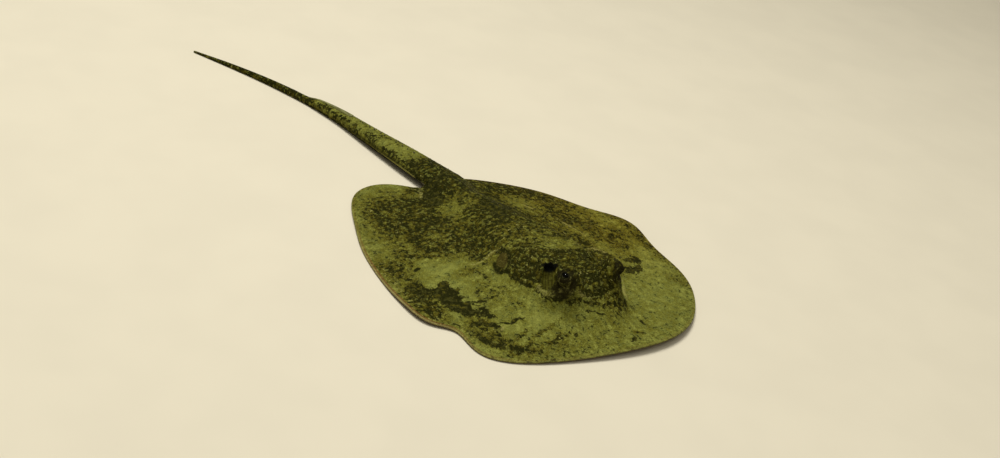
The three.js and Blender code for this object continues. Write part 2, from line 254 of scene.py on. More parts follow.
# Markings, laid out on the body: outlines of (x, y), lines of (x, y, half width) and
# soft areas of (x, y, half across, half along, turn, strength).
markings = {
    "darkPatches": [
        [(-90, -7), (-84, -5.5), (-81, -11.5), (-76, -12.5), (-70, -11.5), (-66, -12.5), (-66.5, -18.5),
         (-63.5, -22), (-67, -26.5), (-64.5, -30), (-67, -31.5), (-61, -36.5), (-67, -37), (-62, -43),
         (-60, -51), (-66, -49), (-72, -43), (-77, -41), (-80, -35), (-82, -28), (-82, -20), (-86, -14)],
        [(-75, -47), (-69, -52), (-65, -56), (-60, -57), (-63, -60.5), (-69, -57), (-75, -54)],
        [(-10, 94), (-19, 84), (-26, 74), (-30, 62), (-23, 58), (-15, 66), (-12, 77), (-6, 83), (4, 84),
         (4, 92)],
        [(54, -37), (62, -36), (66, -34), (59, -31), (64, -27), (70, -25), (74, -28.5), (69, -35),
         (66.5, -39), (64, -43), (60, -46.5), (56, -46), (52, -42)],
        [(-10, 22), (-3, 19), (6, 26), (16, 34), (30, 43), (30, 47), (16, 48), (2, 52), (-5, 42),
         (-8, 32)],
    ],
    "darkBands": [
        [(-76, -58, 1), (-77, -64, 0.7), (-75, -69, 1.3), (-71.5, -73, 0.7)],
        [(-72, -60, 0.8), (-68, -63, 0.6), (-66, -71, 0.9), (-63, -77, 0.9)],
        [(-29, 62, 1.8), (-35, 52, 1.2), (-40, 42, 2.2), (-48, 38, 1.3), (-55, 35, 2.2), (-64, 31, 0.8)],
        [(5, -57, 1), (6.5, -60, 1.5), (3, -64, 1.2)],
        [(-90, -8, 1.3), (-86, -14, 2), (-88, -22, 1.1), (-84, -28, 2.2), (-79, -36, 1)],
        [(-9, 58, 0.7), (-14, 46, 0.8), (-20, 37, 1.1), (-29, 39, 0.8), (-36, 44, 1)],
        [(-24.2, -53, 0.4), (-24.2, -57, 1), (-21.8, -61, 0.6)],
    ],
    "tailBlotches": [  # (height, y, half width) along the tail's sides
        (8.6, 106, 2), (8.6, 116, 0.8), (8.6, 124, 1.4), (8.2, 129, 0.3), (8, 135, 1.2), (7.6, 143, 0.2),
        (7.5, 152, 1), (7.4, 161, 0.1), (7.3, 171, 0.9), (7.2, 180, 0.1), (7.2, 190, 0.8),
        (6.4, 204, 0.7), (5, 228, 1.2),
    ],
    # outline of the painted shadow in each spiracle's opening
    "holeShadow": [
        (19.5, -36), (14, -37.5), (9.7, -40), (12.6, -44), (14.2, -41.6), (18.3, -39),
    ],
    "darkLines": [
        [(-65, -57, 0.9), (-60, -56.5, 0.8), (-55, -60, 1), (-50, -58, 0.8), (-43, -58.7, 0.4)],
        [(-66, -33, 1.1), (-61, -35.6, 1), (-56.7, -37.2, 1), (-50.5, -36.4, 0.7), (-45.8, -36.5, 0.3)],
        [(-57, -29, 0.9), (-54, -27.5, 0.8)],
        [(24, -87, 0.9), (24.5, -84, 1.2)],
        [(4, -98.5, 0.8), (8, -97, 0.9)],
        [(-25, -82, 1), (-22, -80, 0.8)],
        [(64, -57, 0.6), (67, -55, 0.8)],
        [(47, -80, 0.6), (50, -78, 0.5)],
        [(74, -17, 1.1), (78, -14, 1.3)],
        [(-78, 4, 0.8), (-74, 5.5, 0.9)],
        [(-83, 9, 0.6), (-80, 12, 1)],
        [(-92, 6, 0.7), (-89, 9, 0.9)],
        [(-45, 60, 0.8), (-41, 66, 1)],
        [(-27.3, -45, 0.2), (-29.5, -38, 0.4), (-31, -33, 0.7), (-32, -27, 0.8), (-31.5, -22, 0.9)],
        [(-31, -22.5, 0.9), (-28.3, -20, 1.1), (-25.8, -16, 1.1), (-24, -11.5, 1.1), (-24.3, -7.2, 1),
         (-28, -6.6, 0.7)],
        [(-33.4, -12.5, 0.4), (-34.4, -16.5, 1), (-33.6, -20.5, 1.1), (-31, -22.5, 0.9)],
        [(-13, -71.5, 0.2), (-9.5, -72.5, 0.7), (-6, -73, 0.2), (-3, -75.3, 0.7), (1, -76.5, 0.3)],
        [(-30.5, 39.3, 0.2), (-23, 38, 0.6), (-19.5, 31, 0.3)],
        [(-28.2, 15.8, 0.2), (-23.2, 13.9, 0.6), (-21, 10.3, 0.5), (-22.2, 4, 0.3)],
        # painted shade on the dark side of the crease beside the far eye
        [(26.5, -66, 0.6), (24, -70, 0.9), (21.5, -73.5, 0.6)],
        [(-37.5, 21, 0.4), (-28, 20.5, 0.8), (-19, 19, 0.5), (-11, 14, 0.8), (1.5, 19, 0.5)],
        [(-40, 8.6, 0.3), (-30, 8.8, 0.7), (-23.5, 2, 0.6), (-14, -0.5, 0.4)],
        [(-10.4, -14.4, 0.7), (-5.7, -16.7, 0.9), (-3.4, -23.3, 0.7), (-4.3, -28.3, 0.4)],
        [(5.3, -8.4, 0.6), (10.4, -11.9, 0.8), (18.5, -14.6, 0.7)],
        [(11.5, -32, 0.6), (11.7, -38.5, 0.9), (11.9, -46.2, 0.9), (10.2, -55, 0.8), (10.6, -60, 0.5)],
        [(-27.6, -46.5, 0.5), (-27.3, -50, 0.6), (-27, -56, 0.5), (-25.3, -60.5, 0.6), (-20, -66.2, 0.7),
         (-11.5, -67.7, 0.6), (-4.5, -69.5, 0.7), (2, -71, 0.4)],
    ],
    "softLines": [
        [(-70, -81, 2), (-58, -78.5, 1.8), (-45, -73, 1.8), (-33, -69.5, 1.3), (-26, -68.5, 0.8)],
        [(-60, -83, 1), (-47, -82, 1.8), (-35, -79, 2), (-24, -80, 1)],
        [(-58, -72, 1), (-50, -68, 1.2), (-42, -66, 0.8)],
        [(20, -96, 1), (12, -92, 1)],
        [(-49, -6, 0.3), (-47, -13, 0.8), (-43.5, -22, 0.8), (-41, -28, 0.3)],
        [(-54, -9, 0.3), (-52, -17, 0.7), (-49, -25, 0.7), (-47, -30, 0.3)],
        [(-45, -45.5, 0.3), (-40, -48.5, 1), (-36.5, -51, 0.4)],
    ],
    "paleLines": [
        [(-47, -5, 0.2), (-43, -7.5, 0.5), (-36.5, -6, 0.55), (-29, -4, 0.5), (-25, -5, 0.3)],
        # the next two lines run along the crest: painted highlight on its lit shoulder
        [(34, 50, 0.2), (37.5, 43, 0.7), (41.5, 36, 0.2)],
        [(46, 24, 0.2), (48, 13, 0.7), (48.7, 6, 0.5), (51, -2, 0.2)],
        [(40, -49, 0.4), (36.7, -53.7, 0.7), (32, -60, 0.6), (28.5, -66.5, 0.3)],
        [(37, -15.5, 0.2), (45, -15, 0.6), (52, -20.5, 0.4)],
        [(-26.6, -45.5, 0.4), (-26.1, -49, 0.8), (-25.9, -53, 0.7), (-25.4, -57.5, 0.3)],
        [(-24.4, -58.6, 0.2), (-19, -64.8, 0.5), (-11, -66.2, 0.7), (-5, -67.2, 0.3)],
        [(-62, -62, 0.7), (-60, -60.5, 0.9)],
        [(-27, 76, 1), (-21, 84, 1.2), (-17, 90, 0.8)],
    ],
    "headCover": [
        (-26, -14), (-31, -22), (-32, -35), (-27, -47), (-26, -57), (-21, -63.5), (-14, -67), (-3, -68),
        (6, -67.5), (14, -66.5), (21, -64.5), (27, -62), (30, -56), (31, -44), (38, -34), (54, -27),
        (53, -20), (45, -15.5), (34, -18), (26, -27), (16, -30), (7, -28), (-5, -24), (-13, -14),
        (-19, -9),
    ],
    "shade": [
        (0, 0, 400, 400, 0, 0.08), (-57, 57, 20, 31, -8, 0.8), (-62, 18, 20, 13, 0, 0.6),
        (-38, 26, 22, 16, 20, 0.5), (-48, 76, 16, 9, 10, 0.4), (-30, 70, 16, 13, 0, 0.88),
        (6, 34, 19, 16, 35, 0.9), (14, 66, 18, 32, -10, 0.88), (-6, 32, 13, 14, 0, 0.6),
        (-6, 84, 20, 18, 0, 0.9), (-16, 6, 22, 30, 0, 0.6), (22, 2, 22, 36, 0, 0.6),
        (-36, 8, 14, 15, 0, 0.42), (-21, 48, 16, 18, 0, 0.42), (66, 26, 18, 34, 8, 0.5),
        (52, 72, 36, 20, -34, 0.8), (74, -8, 14, 12, 0, 0.36), (98, -4, 9, 46, 0, 0.52),
        (57, 26, 7, 24, 12, 0.6), (-54, -81, 26, 8, -8, 0.16), (-26, 86, 9, 7, 0, 0.45),
        (-84, 20, 12, 30, 0, 0.3), (-71, -65, 7, 17, 33, 0.45), (-89, -24, 9, 20, 0, 0.72),
        (-70, -52, 6, 9, 30, 0.6), (33, 22, 8, 34, 18, 0.55), (44, 30, 7, 34, 18, 0.4),
        (41, -8, 9, 9, 0, 0.6), (-40, 44, 9, 16, -35, 0.8), (58, -62, 44, 36, 0, 0.04),
        (-10, -86, 60, 12, 0, 0.16), (-30, 23, 18, 10, 0, 0.3), (64, -8, 10, 9, 0, 0.45),
        (82, 3, 10, 9, 0, 0.3), (-52, -9, 8, 4, 0, 0.4), (-41, 94, 10, 5, 0, 0.3),
        (-88, -14, 6, 9, 0, 0.6), (-88, 12, 9, 14, 0, 0.4), (-2, -74, 26, 7, 0, 0.15),
        (-20, -58, 9, 7, 0, 0.5), (42, -30, 14, 16, 0, 0.5), (-18, -61, 6, 4, 0, 0.85),
        (0, -57, 20, 6, 0, 0.6), (14, -71, 13, 6, 0, 0.55), (66, -24, 9, 7, 0, 0.3),
        (90, -62, 8, 20, 35, 0.3), (-47, -28, 13, 20, 0, 0.3), (36, 76, 20, 16, 0, 0.5),
        (-20, -58, 70, 50, 0, 0.08), (-60, 92, 26, 12, 0, 0.18),
    ],
    "light": [
        (-20, 51, 7, 10, -20, 0.38), (-67, 6, 8, 6, 0, 0.6), (-58, -3, 14, 6, 0, 0.6),
        (-44, -22, 18, 9, 0, 0.4), (-30, -63, 8, 6, 0, 0.6), (-28, 81, 5, 5, 0, 0.5),
        (-46, 30, 6, 5, 0, 0.6), (-50, 97, 26, 8, 0, 0.3), (-88, 40, 8, 26, 12, 0.4),
        (6, -21, 10, 5, 0, 0.2), (36, 22, 4, 24, 16, 0.25), (-17, -8, 6, 4, 0, 0.4),
        (79, 16, 5, 7, 0, 0.2), (90, 9, 4, 6, 0, 0.4), (59, -11, 5, 4, 0, 0.5), (-12, -75, 16, 5, 0, 0.4),
        (34, 54, 9, 12, -20, 0.35), (-20, 36, 4, 6, 0, 0.3), (-66, 27, 3, 3, 0, 0.5),
        (8, 58, 4, 5, 0, 0.4),
    ],
    "rimHighlight": {"at": -85, "spread": 38},  # where the margin is edged with a painted highlight, a pale line on its lit edge
    "eyespot": {"x": -29.5, "y": -14.6, "half": (3.7, 6.6), "turn": -38},
}


def markField(kind, measure, x, y):
    return np.max([measure(x, y, mark) for mark in markings[kind]], axis=0)


def softAreas(kind, x, y):
    clear = np.ones(np.shape(x))
    for cx, cy, across, length, turn, strength in markings[kind]:
        c, s = np.cos(np.radians(turn)), np.sin(np.radians(turn))
        u, v = (x - cx) * c + (y - cy) * s, (y - cy) * c - (x - cx) * s
        clear *= 1 - strength * np.exp(-((u / across) ** 2 + (v / length) ** 2) ** 1.5)
    return clear


def shadeField(x, y):
    return (1 - softAreas("shade", x, y)) * softAreas("light", x, y)


tailTone = {
    "top": 0.2, "olive": 0.26, "oliveFrom": (0.74, 0.6),  # from, to in shares of the height
    "low": 0.85, "lowFrom": (0.42, 0.3),
    "rear": 0.92, "rearFrom": (208, 228),
    "root": 0.9, "rootTo": (106, 119), "rootLean": 6,
}


def tailShade(y, across, level):  # dark where it leaves the disc, pale on top, olive down the sides
    tone = tailTone
    side = tone["top"] + tone["olive"] * smoothStep(*tone["oliveFrom"], level)
    side = np.maximum(side, tone["low"] * smoothStep(*tone["lowFrom"], level))
    side = np.maximum(side, tone["rear"] * smoothStep(*tone["rearFrom"], y))
    root = 1 - smoothStep(*tone["rootTo"], y - tone["rootLean"] * across)
    return side * (1 - root) + tone["root"] * root


def eyespotAway(x, y):  # 1 at the eyespot's edge
    spot = markings["eyespot"]
    c, s = np.cos(np.radians(spot["turn"])), np.sin(np.radians(spot["turn"]))
    dx, dy = x - spot["x"], y - spot["y"]
    return np.hypot((dx * c + dy * s) / spot["half"][0], (dy * c - dx * s) / spot["half"][1])


# The spiracle: an oval hollow behind and below each eye.
spiracle = {
    "x": 19.5, "y": -45.7, "z": 19.6, "half": (9.5, 5, 4), "slant": 27, "turn": 57,
    "lies": (-0.545, 0.839),  # heading of its length, inward and to the rear
    "lip": {"rise": 0.55, "at": -7, "half": (4.5, 5.6), "width": 0.16, "ends": (-6, 0)},
    "ribs": {"rise": 0.25, "close": 3.4, "wander": 1.1, "end": (-2, 4)},
    "within": (0.05, 0.4),
    "deepest": 9,
}


def spiracleFrame():
    slant = Matrix.Rotation(np.radians(spiracle["slant"]), 3, "Y")
    turn = Matrix.Rotation(-np.radians(spiracle["turn"]), 3, "Z")
    return np.array(turn @ slant)


def spiracleFloor(x, y):  # lower surface of the hollow, and how deep inside its plan a point is
    axes = spiracleFrame()
    form = axes @ np.diag(1 / np.array(spiracle["half"]) ** 2) @ axes.T
    dx, dy = np.abs(x) - spiracle["x"], y - spiracle["y"]
    a = form[2, 2]
    b = form[0, 2] * dx + form[1, 2] * dy
    c = form[0, 0] * dx ** 2 + 2 * form[0, 1] * dx * dy + form[1, 1] * dy ** 2 - 1
    depth = b ** 2 - a * c
    floor = spiracle["z"] + (-b - np.sqrt(np.maximum(depth, 0))) / a
    return np.where(depth > 0, floor, 1e3), np.clip(depth / a, -1, 30)


def spiracleAxes(x, y):  # distance along the hollow from its front outer end, and across it
    dx, dy = np.abs(x) - spiracle["x"], y - spiracle["y"]
    c, s = spiracle["lies"]
    return dx * c + dy * s, dx * s - dy * c


def spiracleRibs(x, y):
    length, across = spiracleAxes(x, y)
    wander = spiracle["ribs"]["wander"] * ripple(length, across, 4, 51)
    return np.sin(across * spiracle["ribs"]["close"] + wander) * (0.6 + 0.4 * ripple(x, y, 2.2, 52))


relief = {  # heights and sizes in mm
    "knobs": {"size": 3, "head": 1.05, "back": 0.6, "fin": 0.1},
    "nubs": {"size": 1.8, "head": 0.4, "back": 0.22, "fin": 0.07},
    "waves": 0.4,
    "finRays": 0.12,
    "rayTurn": 2.2,
    "crease": 0.6,
    "overEyes": 0.8,
    "headSwell": 0.45,
    "eyespot": {"rise": 1.1, "moat": 0.9, "moatAt": 1.15, "moatWidth": 0.2},
    "fade": (0.9, 0.985),  # shares of the way to the margin
    "raysFrom": (0.45, 0.7),
    "creaseEdge": (-1.4, 0.6),
    "headEdge": (-3, 2),
}


def rough(x, y):  # how far the head's and the back's roughness reaches, 0 to 1
    head = smoothStep(*relief["headEdge"], outlineField(x, y, markings["headCover"]))
    return head, np.clip(shadeField(x, y) * 1.3, 0, 1) * (1 - head)


def knobs(x, y):
    return bumps(x, y, topHeight(x, y), relief["knobs"]["size"], seed=11)


def nubs(x, y):
    return bumps(x + 9, y, topHeight(x, y), relief["nubs"]["size"], seed=21)


def finRays(x, y):
    return np.sin(np.radians(polar(x, y)[0]) * 180 / relief["rayTurn"] + 2 * ripple(x, y, 18, 5))


def backRelief(x, y):  # small forms of the upper skin
    share = polar(x, y)[1]
    head, back = rough(x, y)
    inner = 1 - smoothStep(*relief["fade"], share)
    z = relief["waves"] * ripples(x, y, 13, seed=3) * inner
    for kind, height in (("knobs", knobs(x, y)), ("nubs", nubs(x, y))):
        row = relief[kind]
        z = z + height * (row["head"] * head + row["back"] * back + row["fin"]) * inner
    z = z + relief["headSwell"] * head * ripples(x, y, 5, seed=33)
    z = z - relief["overEyes"] * bell(np.hypot(np.abs(x) - bulge["x"], y - bulge["y"]), bulge["spread"])
    z = z + relief["finRays"] * finRays(x, y) * smoothStep(*relief["raysFrom"], share) * inner
    crease = markField("paleLines", strokeField, x, y)
    z = z + relief["crease"] * smoothStep(*relief["creaseEdge"], crease) * inner
    spot, form = eyespotAway(x, y), relief["eyespot"]
    moat = form["moat"] * bell(spot - form["moatAt"], form["moatWidth"])
    return z + form["rise"] * (1 - smoothStep(0.3, 1, spot)) - moat


# The underside: mouth, nasal curtain, five gill slits to a side and the vent.
under = {
    "mouth": [(-10, -60.5, 0.5), (-6, -62.3, 1), (0, -63, 1.1), (6, -62.3, 1), (10, -60.5, 0.5)],
    "nostril": [(7, -72, 0.5), (9.5, -69, 1.1), (8.5, -65.5, 0.6)],
    "gills": [(23, -44), (24, -36), (23.4, -28.5), (21.6, -21), (18.6, -14)],
    "gillHalf": 3,
    "vent": [(0, 72, 0.7), (0, 78, 0.7)],
    "depth": 1.5,
}


def underGrooves(x, y):
    side, reach = np.abs(x), under["gillHalf"]
    groove = np.maximum(strokeField(x, y, under["mouth"]), strokeField(x, y, under["vent"]))
    groove = np.maximum(groove, strokeField(side, y, under["nostril"]))
    for gx, gy in under["gills"]:
        slit = [(gx - reach, gy - 0.8, 0.3), (gx, gy, 0.6), (gx + reach, gy - 0.8, 0.3)]
        groove = np.maximum(groove, strokeField(side, y, slit))
    return under["depth"] * smoothStep(-0.9, 0.5, groove)


# Each eye looks out and a little up and forward through an oval opening in the lids.
lids = {
    "gaze": (0.6, -0.15, 0.9),
    "open": (46, 34),  # half angles of the opening, along the head and up
    "clear": 0.45,
    "ridge": {"rise": 0.4, "at": 1.2, "width": 0.22},
    "tuck": 0.6,
    "edge": (0.9, 1.05),
    "reach": 2.2,  # mm of skin past the ball that the lids draw in
    "blendOver": 1.2,
    "above": 12,
}


def eyeAxes(side):
    gaze = Vector((side * lids["gaze"][0], lids["gaze"][1], lids["gaze"][2])).normalized()
    ahead = Vector((0, -1, 0))
    ahead = (ahead - gaze * ahead.dot(gaze)).normalized()
    up = gaze.cross(ahead) * -side
    return np.array([gaze, ahead, up])


def openEye(points):  # lays the skin round the eyeballs, and tucks it under in the opening
    moved = points.copy()
    for side in (1, -1):
        centre = np.array([side * eye["x"], eye["y"], eye["z"]])
        offset = points - centre
        reach = np.linalg.norm(offset, axis=1)
        gaze, ahead, up = (offset @ eyeAxes(side).T / np.maximum(reach, 1e-6)[:, None]).T
        angle = np.degrees(np.arccos(np.clip(gaze, -1, 1)))
        spread = np.hypot(ahead, up) + 1e-6
        limit = 1 / np.hypot(ahead / spread / lids["open"][0], up / spread / lids["open"][1])
        edge = angle / limit  # 1 at the lid's edge
        shut = smoothStep(*lids["edge"], edge)
        ridge = lids["ridge"]["rise"] * bell(edge - lids["ridge"]["at"], lids["ridge"]["width"])
        lidded = eye["radius"] + lids["clear"] + ridge
        tucked = eye["radius"] - lids["tuck"]
        target = tucked + (lidded - tucked) * shut
        near = reach < eye["radius"] + lids["reach"]
        outside = np.maximum(reach, target)
        inside = np.where(reach < lidded + lids["blendOver"], np.minimum(reach, target), reach)
        wanted = np.where(edge < lids["edge"][1], inside * (1 - shut) + outside * shut, outside)
        scale = wanted / np.maximum(reach, 1e-6)
        drawn = near & (points[:, 2] > lids["above"])
        moved = np.where(drawn[:, None], centre + offset * scale[:, None], moved)
    return moved


def closedTube(rings, startPoint, endPoint):  # rings of equal length, closed by a point at each end
    rings = np.asarray(rings)
    count, around = rings.shape[:2]
    points = np.concatenate([rings.reshape(-1, 3), [startPoint], [endPoint]])
    k = np.arange(around)
    after = (k + 1) % around
    first = (np.arange(count - 1) * around)[:, None]
    walls = np.stack([first + k, first + k + around, first + after + around, first + after], 2)
    last = (count - 1) * around
    startCap = np.stack([np.full(around, count * around), k, after], 1)
    endCap = np.stack([np.full(around, count * around + 1), last + after, last + k], 1)
    return points, walls.reshape(-1, 4).tolist() + startCap.tolist() + endCap.tolist()


def makeObject(name, points, faces, turned=False):
    mesh = bpy.data.meshes.new(name)
    if turned:
        faces = [face[::-1] for face in faces]
    mesh.from_pydata((np.asarray(points) * toMetres).tolist(), [], faces)
    mesh.validate()
    made = bpy.data.objects.new(name, mesh)
    bpy.context.scene.collection.objects.link(made)
    return made


def steppedShares(steps):  # where the rings lie, from (share, step there)
    places, sizes = zip(*steps)
    shares = [sizes[0]]
    while shares[-1] < 1:
        shares.append(shares[-1] + np.interp(shares[-1], places, sizes))
    return np.array(shares) / shares[-1]


def spokeEnds():  # where the mesh's spokes meet the margin
    hub = disc["hub"]
    angle = np.linspace(-180, 180, disc["marginPoints"], endpoint=False)
    edge = discEdge(angle)
    margin = np.stack([edge * np.sin(np.radians(angle)), -edge * np.cos(np.radians(angle))], 1)
    bearing = np.degrees(np.arctan2(margin[:, 0] - hub[0], -(margin[:, 1] - hub[1])))
    order = np.argsort(bearing)
    even = np.linspace(-180, 180, disc["spokes"], endpoint=False)
    return np.stack([np.interp(even, bearing[order], margin[order, k], period=360) for k in (0, 1)], 1)


def backSurface(x, y):  # the whole upper surface: back, fairing to the tail, relief and spiracles
    z = topHeight(x, y)
    fairing = np.where(y > tail["stations"][0][0], tailTop(x, y), tail["none"])
    soft = tail["blend"]
    mix = np.clip(0.5 + 0.5 * (fairing - z) / soft, 0, 1)
    z = z * (1 - mix) + fairing * mix + soft * mix * (1 - mix) * tail["swell"]
    floor, depth = spiracleFloor(x, y)
    z = z + backRelief(x, y) * (1 - smoothStep(0, 0.5, depth))
    length, across = spiracleAxes(x, y)
    lip = spiracle["lip"]
    fromLip = np.hypot((length - lip["at"]) / lip["half"][0], across / lip["half"][1]) - 1
    z = z + lip["rise"] * (bell(fromLip, lip["width"]) * (1 - smoothStep(*lip["ends"], length)))
    ribs = spiracle["ribs"]
    ribbed = smoothStep(*spiracle["within"], depth) * (1 - smoothStep(*ribs["end"], length))
    ridges = ribs["rise"] * spiracleRibs(x, y) * ribbed
    return np.where(z > floor, np.maximum(floor + ridges, z - spiracle["deepest"]), z)


def underSurface(x, y):
    return underHeight(x, y) + underGrooves(x, y)


def marginRings(ends, outward):  # half a round, from the upper surface to the lower one
    a = np.linspace(0, np.pi, disc["rimRings"] + 2)[1:-1]
    inward = disc["rimRound"] * (1 - np.sin(a))
    plan = ends[None] - outward[None] * inward[:, None, None]
    low, high = underHeight(plan[..., 0], plan[..., 1]), topHeight(plan[..., 0], plan[..., 1])
    share = ((1 + np.cos(a)) / 2)[:, None]
    return np.concatenate([plan, (low + (high - low) * share)[..., None]], 2)


def discPoints():  # rings from the hub over the back, round the margin and under to the hub
    hub, ends = np.array(disc["hub"], float), spokeEnds()
    reach = np.linalg.norm(ends - hub, axis=1)
    inset = 1 - disc["rimRound"] / reach

    def rings(steps, surface):
        plan = hub + (ends - hub) * (steppedShares(steps)[:, None] * inset)[..., None]
        return np.concatenate([plan, surface(plan[..., 0], plan[..., 1])[..., None]], 2)

    top = rings(disc["topSteps"], backSurface)
    margin = marginRings(ends, (ends - hub) / reach[:, None])
    below = rings(disc["underSteps"], underSurface)[::-1]
    x, y = hub[:1], hub[1:]
    summit = [*hub, float((topHeight(x, y) + backRelief(x, y))[0])]
    return np.concatenate([top, margin, below]), summit, [*hub, 0]


# Pelvic fins: lobes on the floor that fan out from under the rear of the disc.
pelvic = {"x": 8.5, "y": 70, "length": 27, "reach": 30, "thickness": 0.9, "rear": 13,
          "front": 0.75, "back": 0.4, "root": 0.72, "inner": 2, "rim": 0.25, "thinner": 0.45,
          "rays": 11, "rayRise": 0.12, "fanFrom": (6, 66), "steps": 24,
          "rings": (0.15, 0.3, 0.45, 0.6, 0.72, 0.83, 0.92, 0.98)}


def pelvicOutline(side):
    x, y = pelvic["x"], pelvic["y"]
    reach, length = pelvic["reach"], pelvic["length"]
    end, root = y + length, y + length * pelvic["root"]
    outer, hind = (x + reach, y + pelvic["rear"]), (x + reach * pelvic["back"], end)
    curves = [
        ((x, y), (x + reach * pelvic["front"], y), outer),
        (outer, (x + reach, end), hind),
        (hind, (x + pelvic["inner"], end), (x, root)),
        ((x, root), (x, y + length * 0.4), (x, y)),
    ]
    t = np.linspace(0, 1, pelvic["steps"], endpoint=False)[:, None]
    parts = []
    for start, bend, stop in np.array(curves):
        parts.append(start * (1 - t) ** 2 + 2 * bend * t * (1 - t) + stop * t * t)
    return np.concatenate(parts) * (side, 1)


def pelvicFin(side):
    outline = pelvicOutline(side)
    hub = outline.mean(0)
    top, low = [], []
    for share in pelvic["rings"]:
        plan = hub + (outline - hub) * share
        fan = np.arctan2(plan[:, 0] * side - pelvic["fanFrom"][0], plan[:, 1] - pelvic["fanFrom"][1])
        rays = pelvic["rayRise"] * np.sin(fan * 2 * pelvic["rays"]) * share
        level = pelvic["thickness"] * (1 - pelvic["thinner"] * share ** 4)
        top.append(np.c_[plan, level + rays * 0.6 - 0.1])
        low.append(np.c_[plan, np.zeros(len(plan))])
    middle = np.c_[outline, np.full(len(outline), pelvic["rim"])]
    rings = np.array(top + [middle] + low[::-1])
    if side < 0:
        rings = rings[:, ::-1]
    return closedTube(rings, [*hub, pelvic["thickness"] - 0.1], [*hub, 0])


# Where the skin is rounded off, over the joint of disc and tail.
joint = {"from": (56, 64), "to": (95, 101), "half": (17, 24), "above": (1.5, 3), "rounds": 14, "pull": 0.6}


def relax(points, edges, weight):  # draws each point toward the middle of its neighbours
    count = np.bincount(edges.ravel(), minlength=len(points))
    for _ in range(joint["rounds"]):
        total = np.zeros_like(points)
        for axis in range(3):
            total[:, axis] = (np.bincount(edges[:, 0], points[edges[:, 1], axis], len(points))
                              + np.bincount(edges[:, 1], points[edges[:, 0], axis], len(points)))
        shift = total / np.maximum(count, 1)[:, None] - points
        points = points + shift * weight[:, None] * joint["pull"]
    return points


def readAll(items, what, width=1, kind=np.float32):  # one property of every point, edge or face
    values = np.zeros(len(items) * width, kind)
    items.foreach_get(what, values)
    return values.reshape(-1, width) if width > 1 else values


def buildSkin():
    body = makeObject("raySkin", *closedTube(*discPoints()))
    ends = tail["stations"]
    places = np.linspace(ends[0][0], ends[-1][0], tail["rings"])
    (startY, startX, _, startZ), (endY, endX, _, endZ) = ends[0], ends[-1]
    tailStart = [startX, startY, startZ * tail["widest"]]
    tailEnd = [endX + tail["point"][0], endY + tail["point"][1], endZ * tail["widest"]]
    tube = closedTube([tailRing(place) for place in places], tailStart, tailEnd)
    joined = [makeObject("tailTube", *tube)]
    for side in (1, -1):
        joined.append(makeObject(f"pelvicLobe{side}", *pelvicFin(side)))
    for other in joined:
        weld = body.modifiers.new("weld", "BOOLEAN")
        weld.operation = "UNION"
        weld.solver = "MANIFOLD"
        weld.object = other
    whole = bpy.data.meshes.new_from_object(body.evaluated_get(bpy.context.evaluated_depsgraph_get()))
    body.modifiers.clear()
    body.data = whole
    for other in joined:
        bpy.data.objects.remove(other)
    return body


def softenSkin(body):  # rounds the joint of tail and disc, then opens the eyes
    mesh = body.data
    points = readAll(mesh.vertices, "co", 3).astype(float) / toMetres
    edges = readAll(mesh.edges, "vertices", 2, np.int32)
    x, y, z = points.T
    zone = smoothStep(*joint["from"], y) * (1 - smoothStep(*joint["to"], y))
    zone = zone * (1 - smoothStep(*joint["half"], np.abs(x))) * smoothStep(*joint["above"], z)
    points = openEye(relax(points, edges, zone))
    mesh.vertices.foreach_set("co", (points * toMetres).astype(np.float32).ravel())
    mesh.update()
    return points


def setField(mesh, name, values):
    mesh.attributes.new(name, "FLOAT", "POINT").data.foreach_set("value", np.asarray(values, np.float32))


paint = {
    "limit": 9,  # mm past which a mark's distance no longer counts
    "tailFrom": (82, 97),
    "tailLean": 0.2,
    "tailHalf": 17,
    "farIn": 30,  # stands for well inside the margin
    "bellyFacing": (-0.35, 0.05),
    "bellyBelow": (6, 9),
    "farLightCastFrom": ((5, 80), (-70, 10)),
    "rayFrom": (0.3, 0.6),
    "foldLeast": 0.3,
    "holeShift": 2,  # the painted shadow in the left spiracle is smaller
    "holeAbove": 15,
    "hollowUp": 3,
    "underEye": 0.5,  # the skin below an eye is dark too
}


def paintMargin(mesh, points, offTail):
    x, y, z = points.T
    angle, share = polar(x, y)
    facing = readAll(mesh.vertices, "normal", 3)[:, 2]
    glow = markings["rimHighlight"]
    setField(mesh, "rimHighlight", bell(turnBetween(angle, glow["at"]), glow["spread"]))
    belly = (1 - smoothStep(*paint["bellyFacing"], facing)) * (1 - smoothStep(*paint["bellyBelow"], z))
    setField(mesh, "belly", belly * offTail)
    margin = np.clip((1 - share) * discEdge(angle), -2, paint["farIn"])
    setField(mesh, "margin", margin * offTail + paint["farIn"] * (1 - offTail))
    setField(mesh, "ray", finRays(x, y) * smoothStep(*paint["rayFrom"], share) * offTail)


def paintMarkings(mesh, points, onTail):
    x, y, z = points.T
    limit = paint["limit"]
    bands = markField("darkBands", strokeField, x, y)
    patches = np.maximum(markField("darkPatches", outlineField, x, y), bands)
    patches = np.where(onTail > 0.5, strokeField(z, y, markings["tailBlotches"]), patches)
    setField(mesh, "darkPatch", np.clip(patches, -limit, limit))
    for name in ("darkLine", "softLine", "paleLine"):
        setField(mesh, name, np.clip(markField(name + "s", strokeField, x, y), -limit, limit))
    setField(mesh, "headCover", np.clip(outlineField(x, y, markings["headCover"]), -limit, limit))
    # painted light: where the far side of the body is tinted browner
    farLightCastX, farLightCastY = paint["farLightCastFrom"]
    setField(mesh, "farLightCast", smoothStep(*farLightCastX, x) * smoothStep(*farLightCastY, y))
    setField(mesh, "knob", knobs(x, y))
    setField(mesh, "nub", nubs(x, y))
    setField(mesh, "eyespot", np.clip(eyespotAway(x, y), 0, 3))
    setField(mesh, "spotSide", x - markings["eyespot"]["x"])


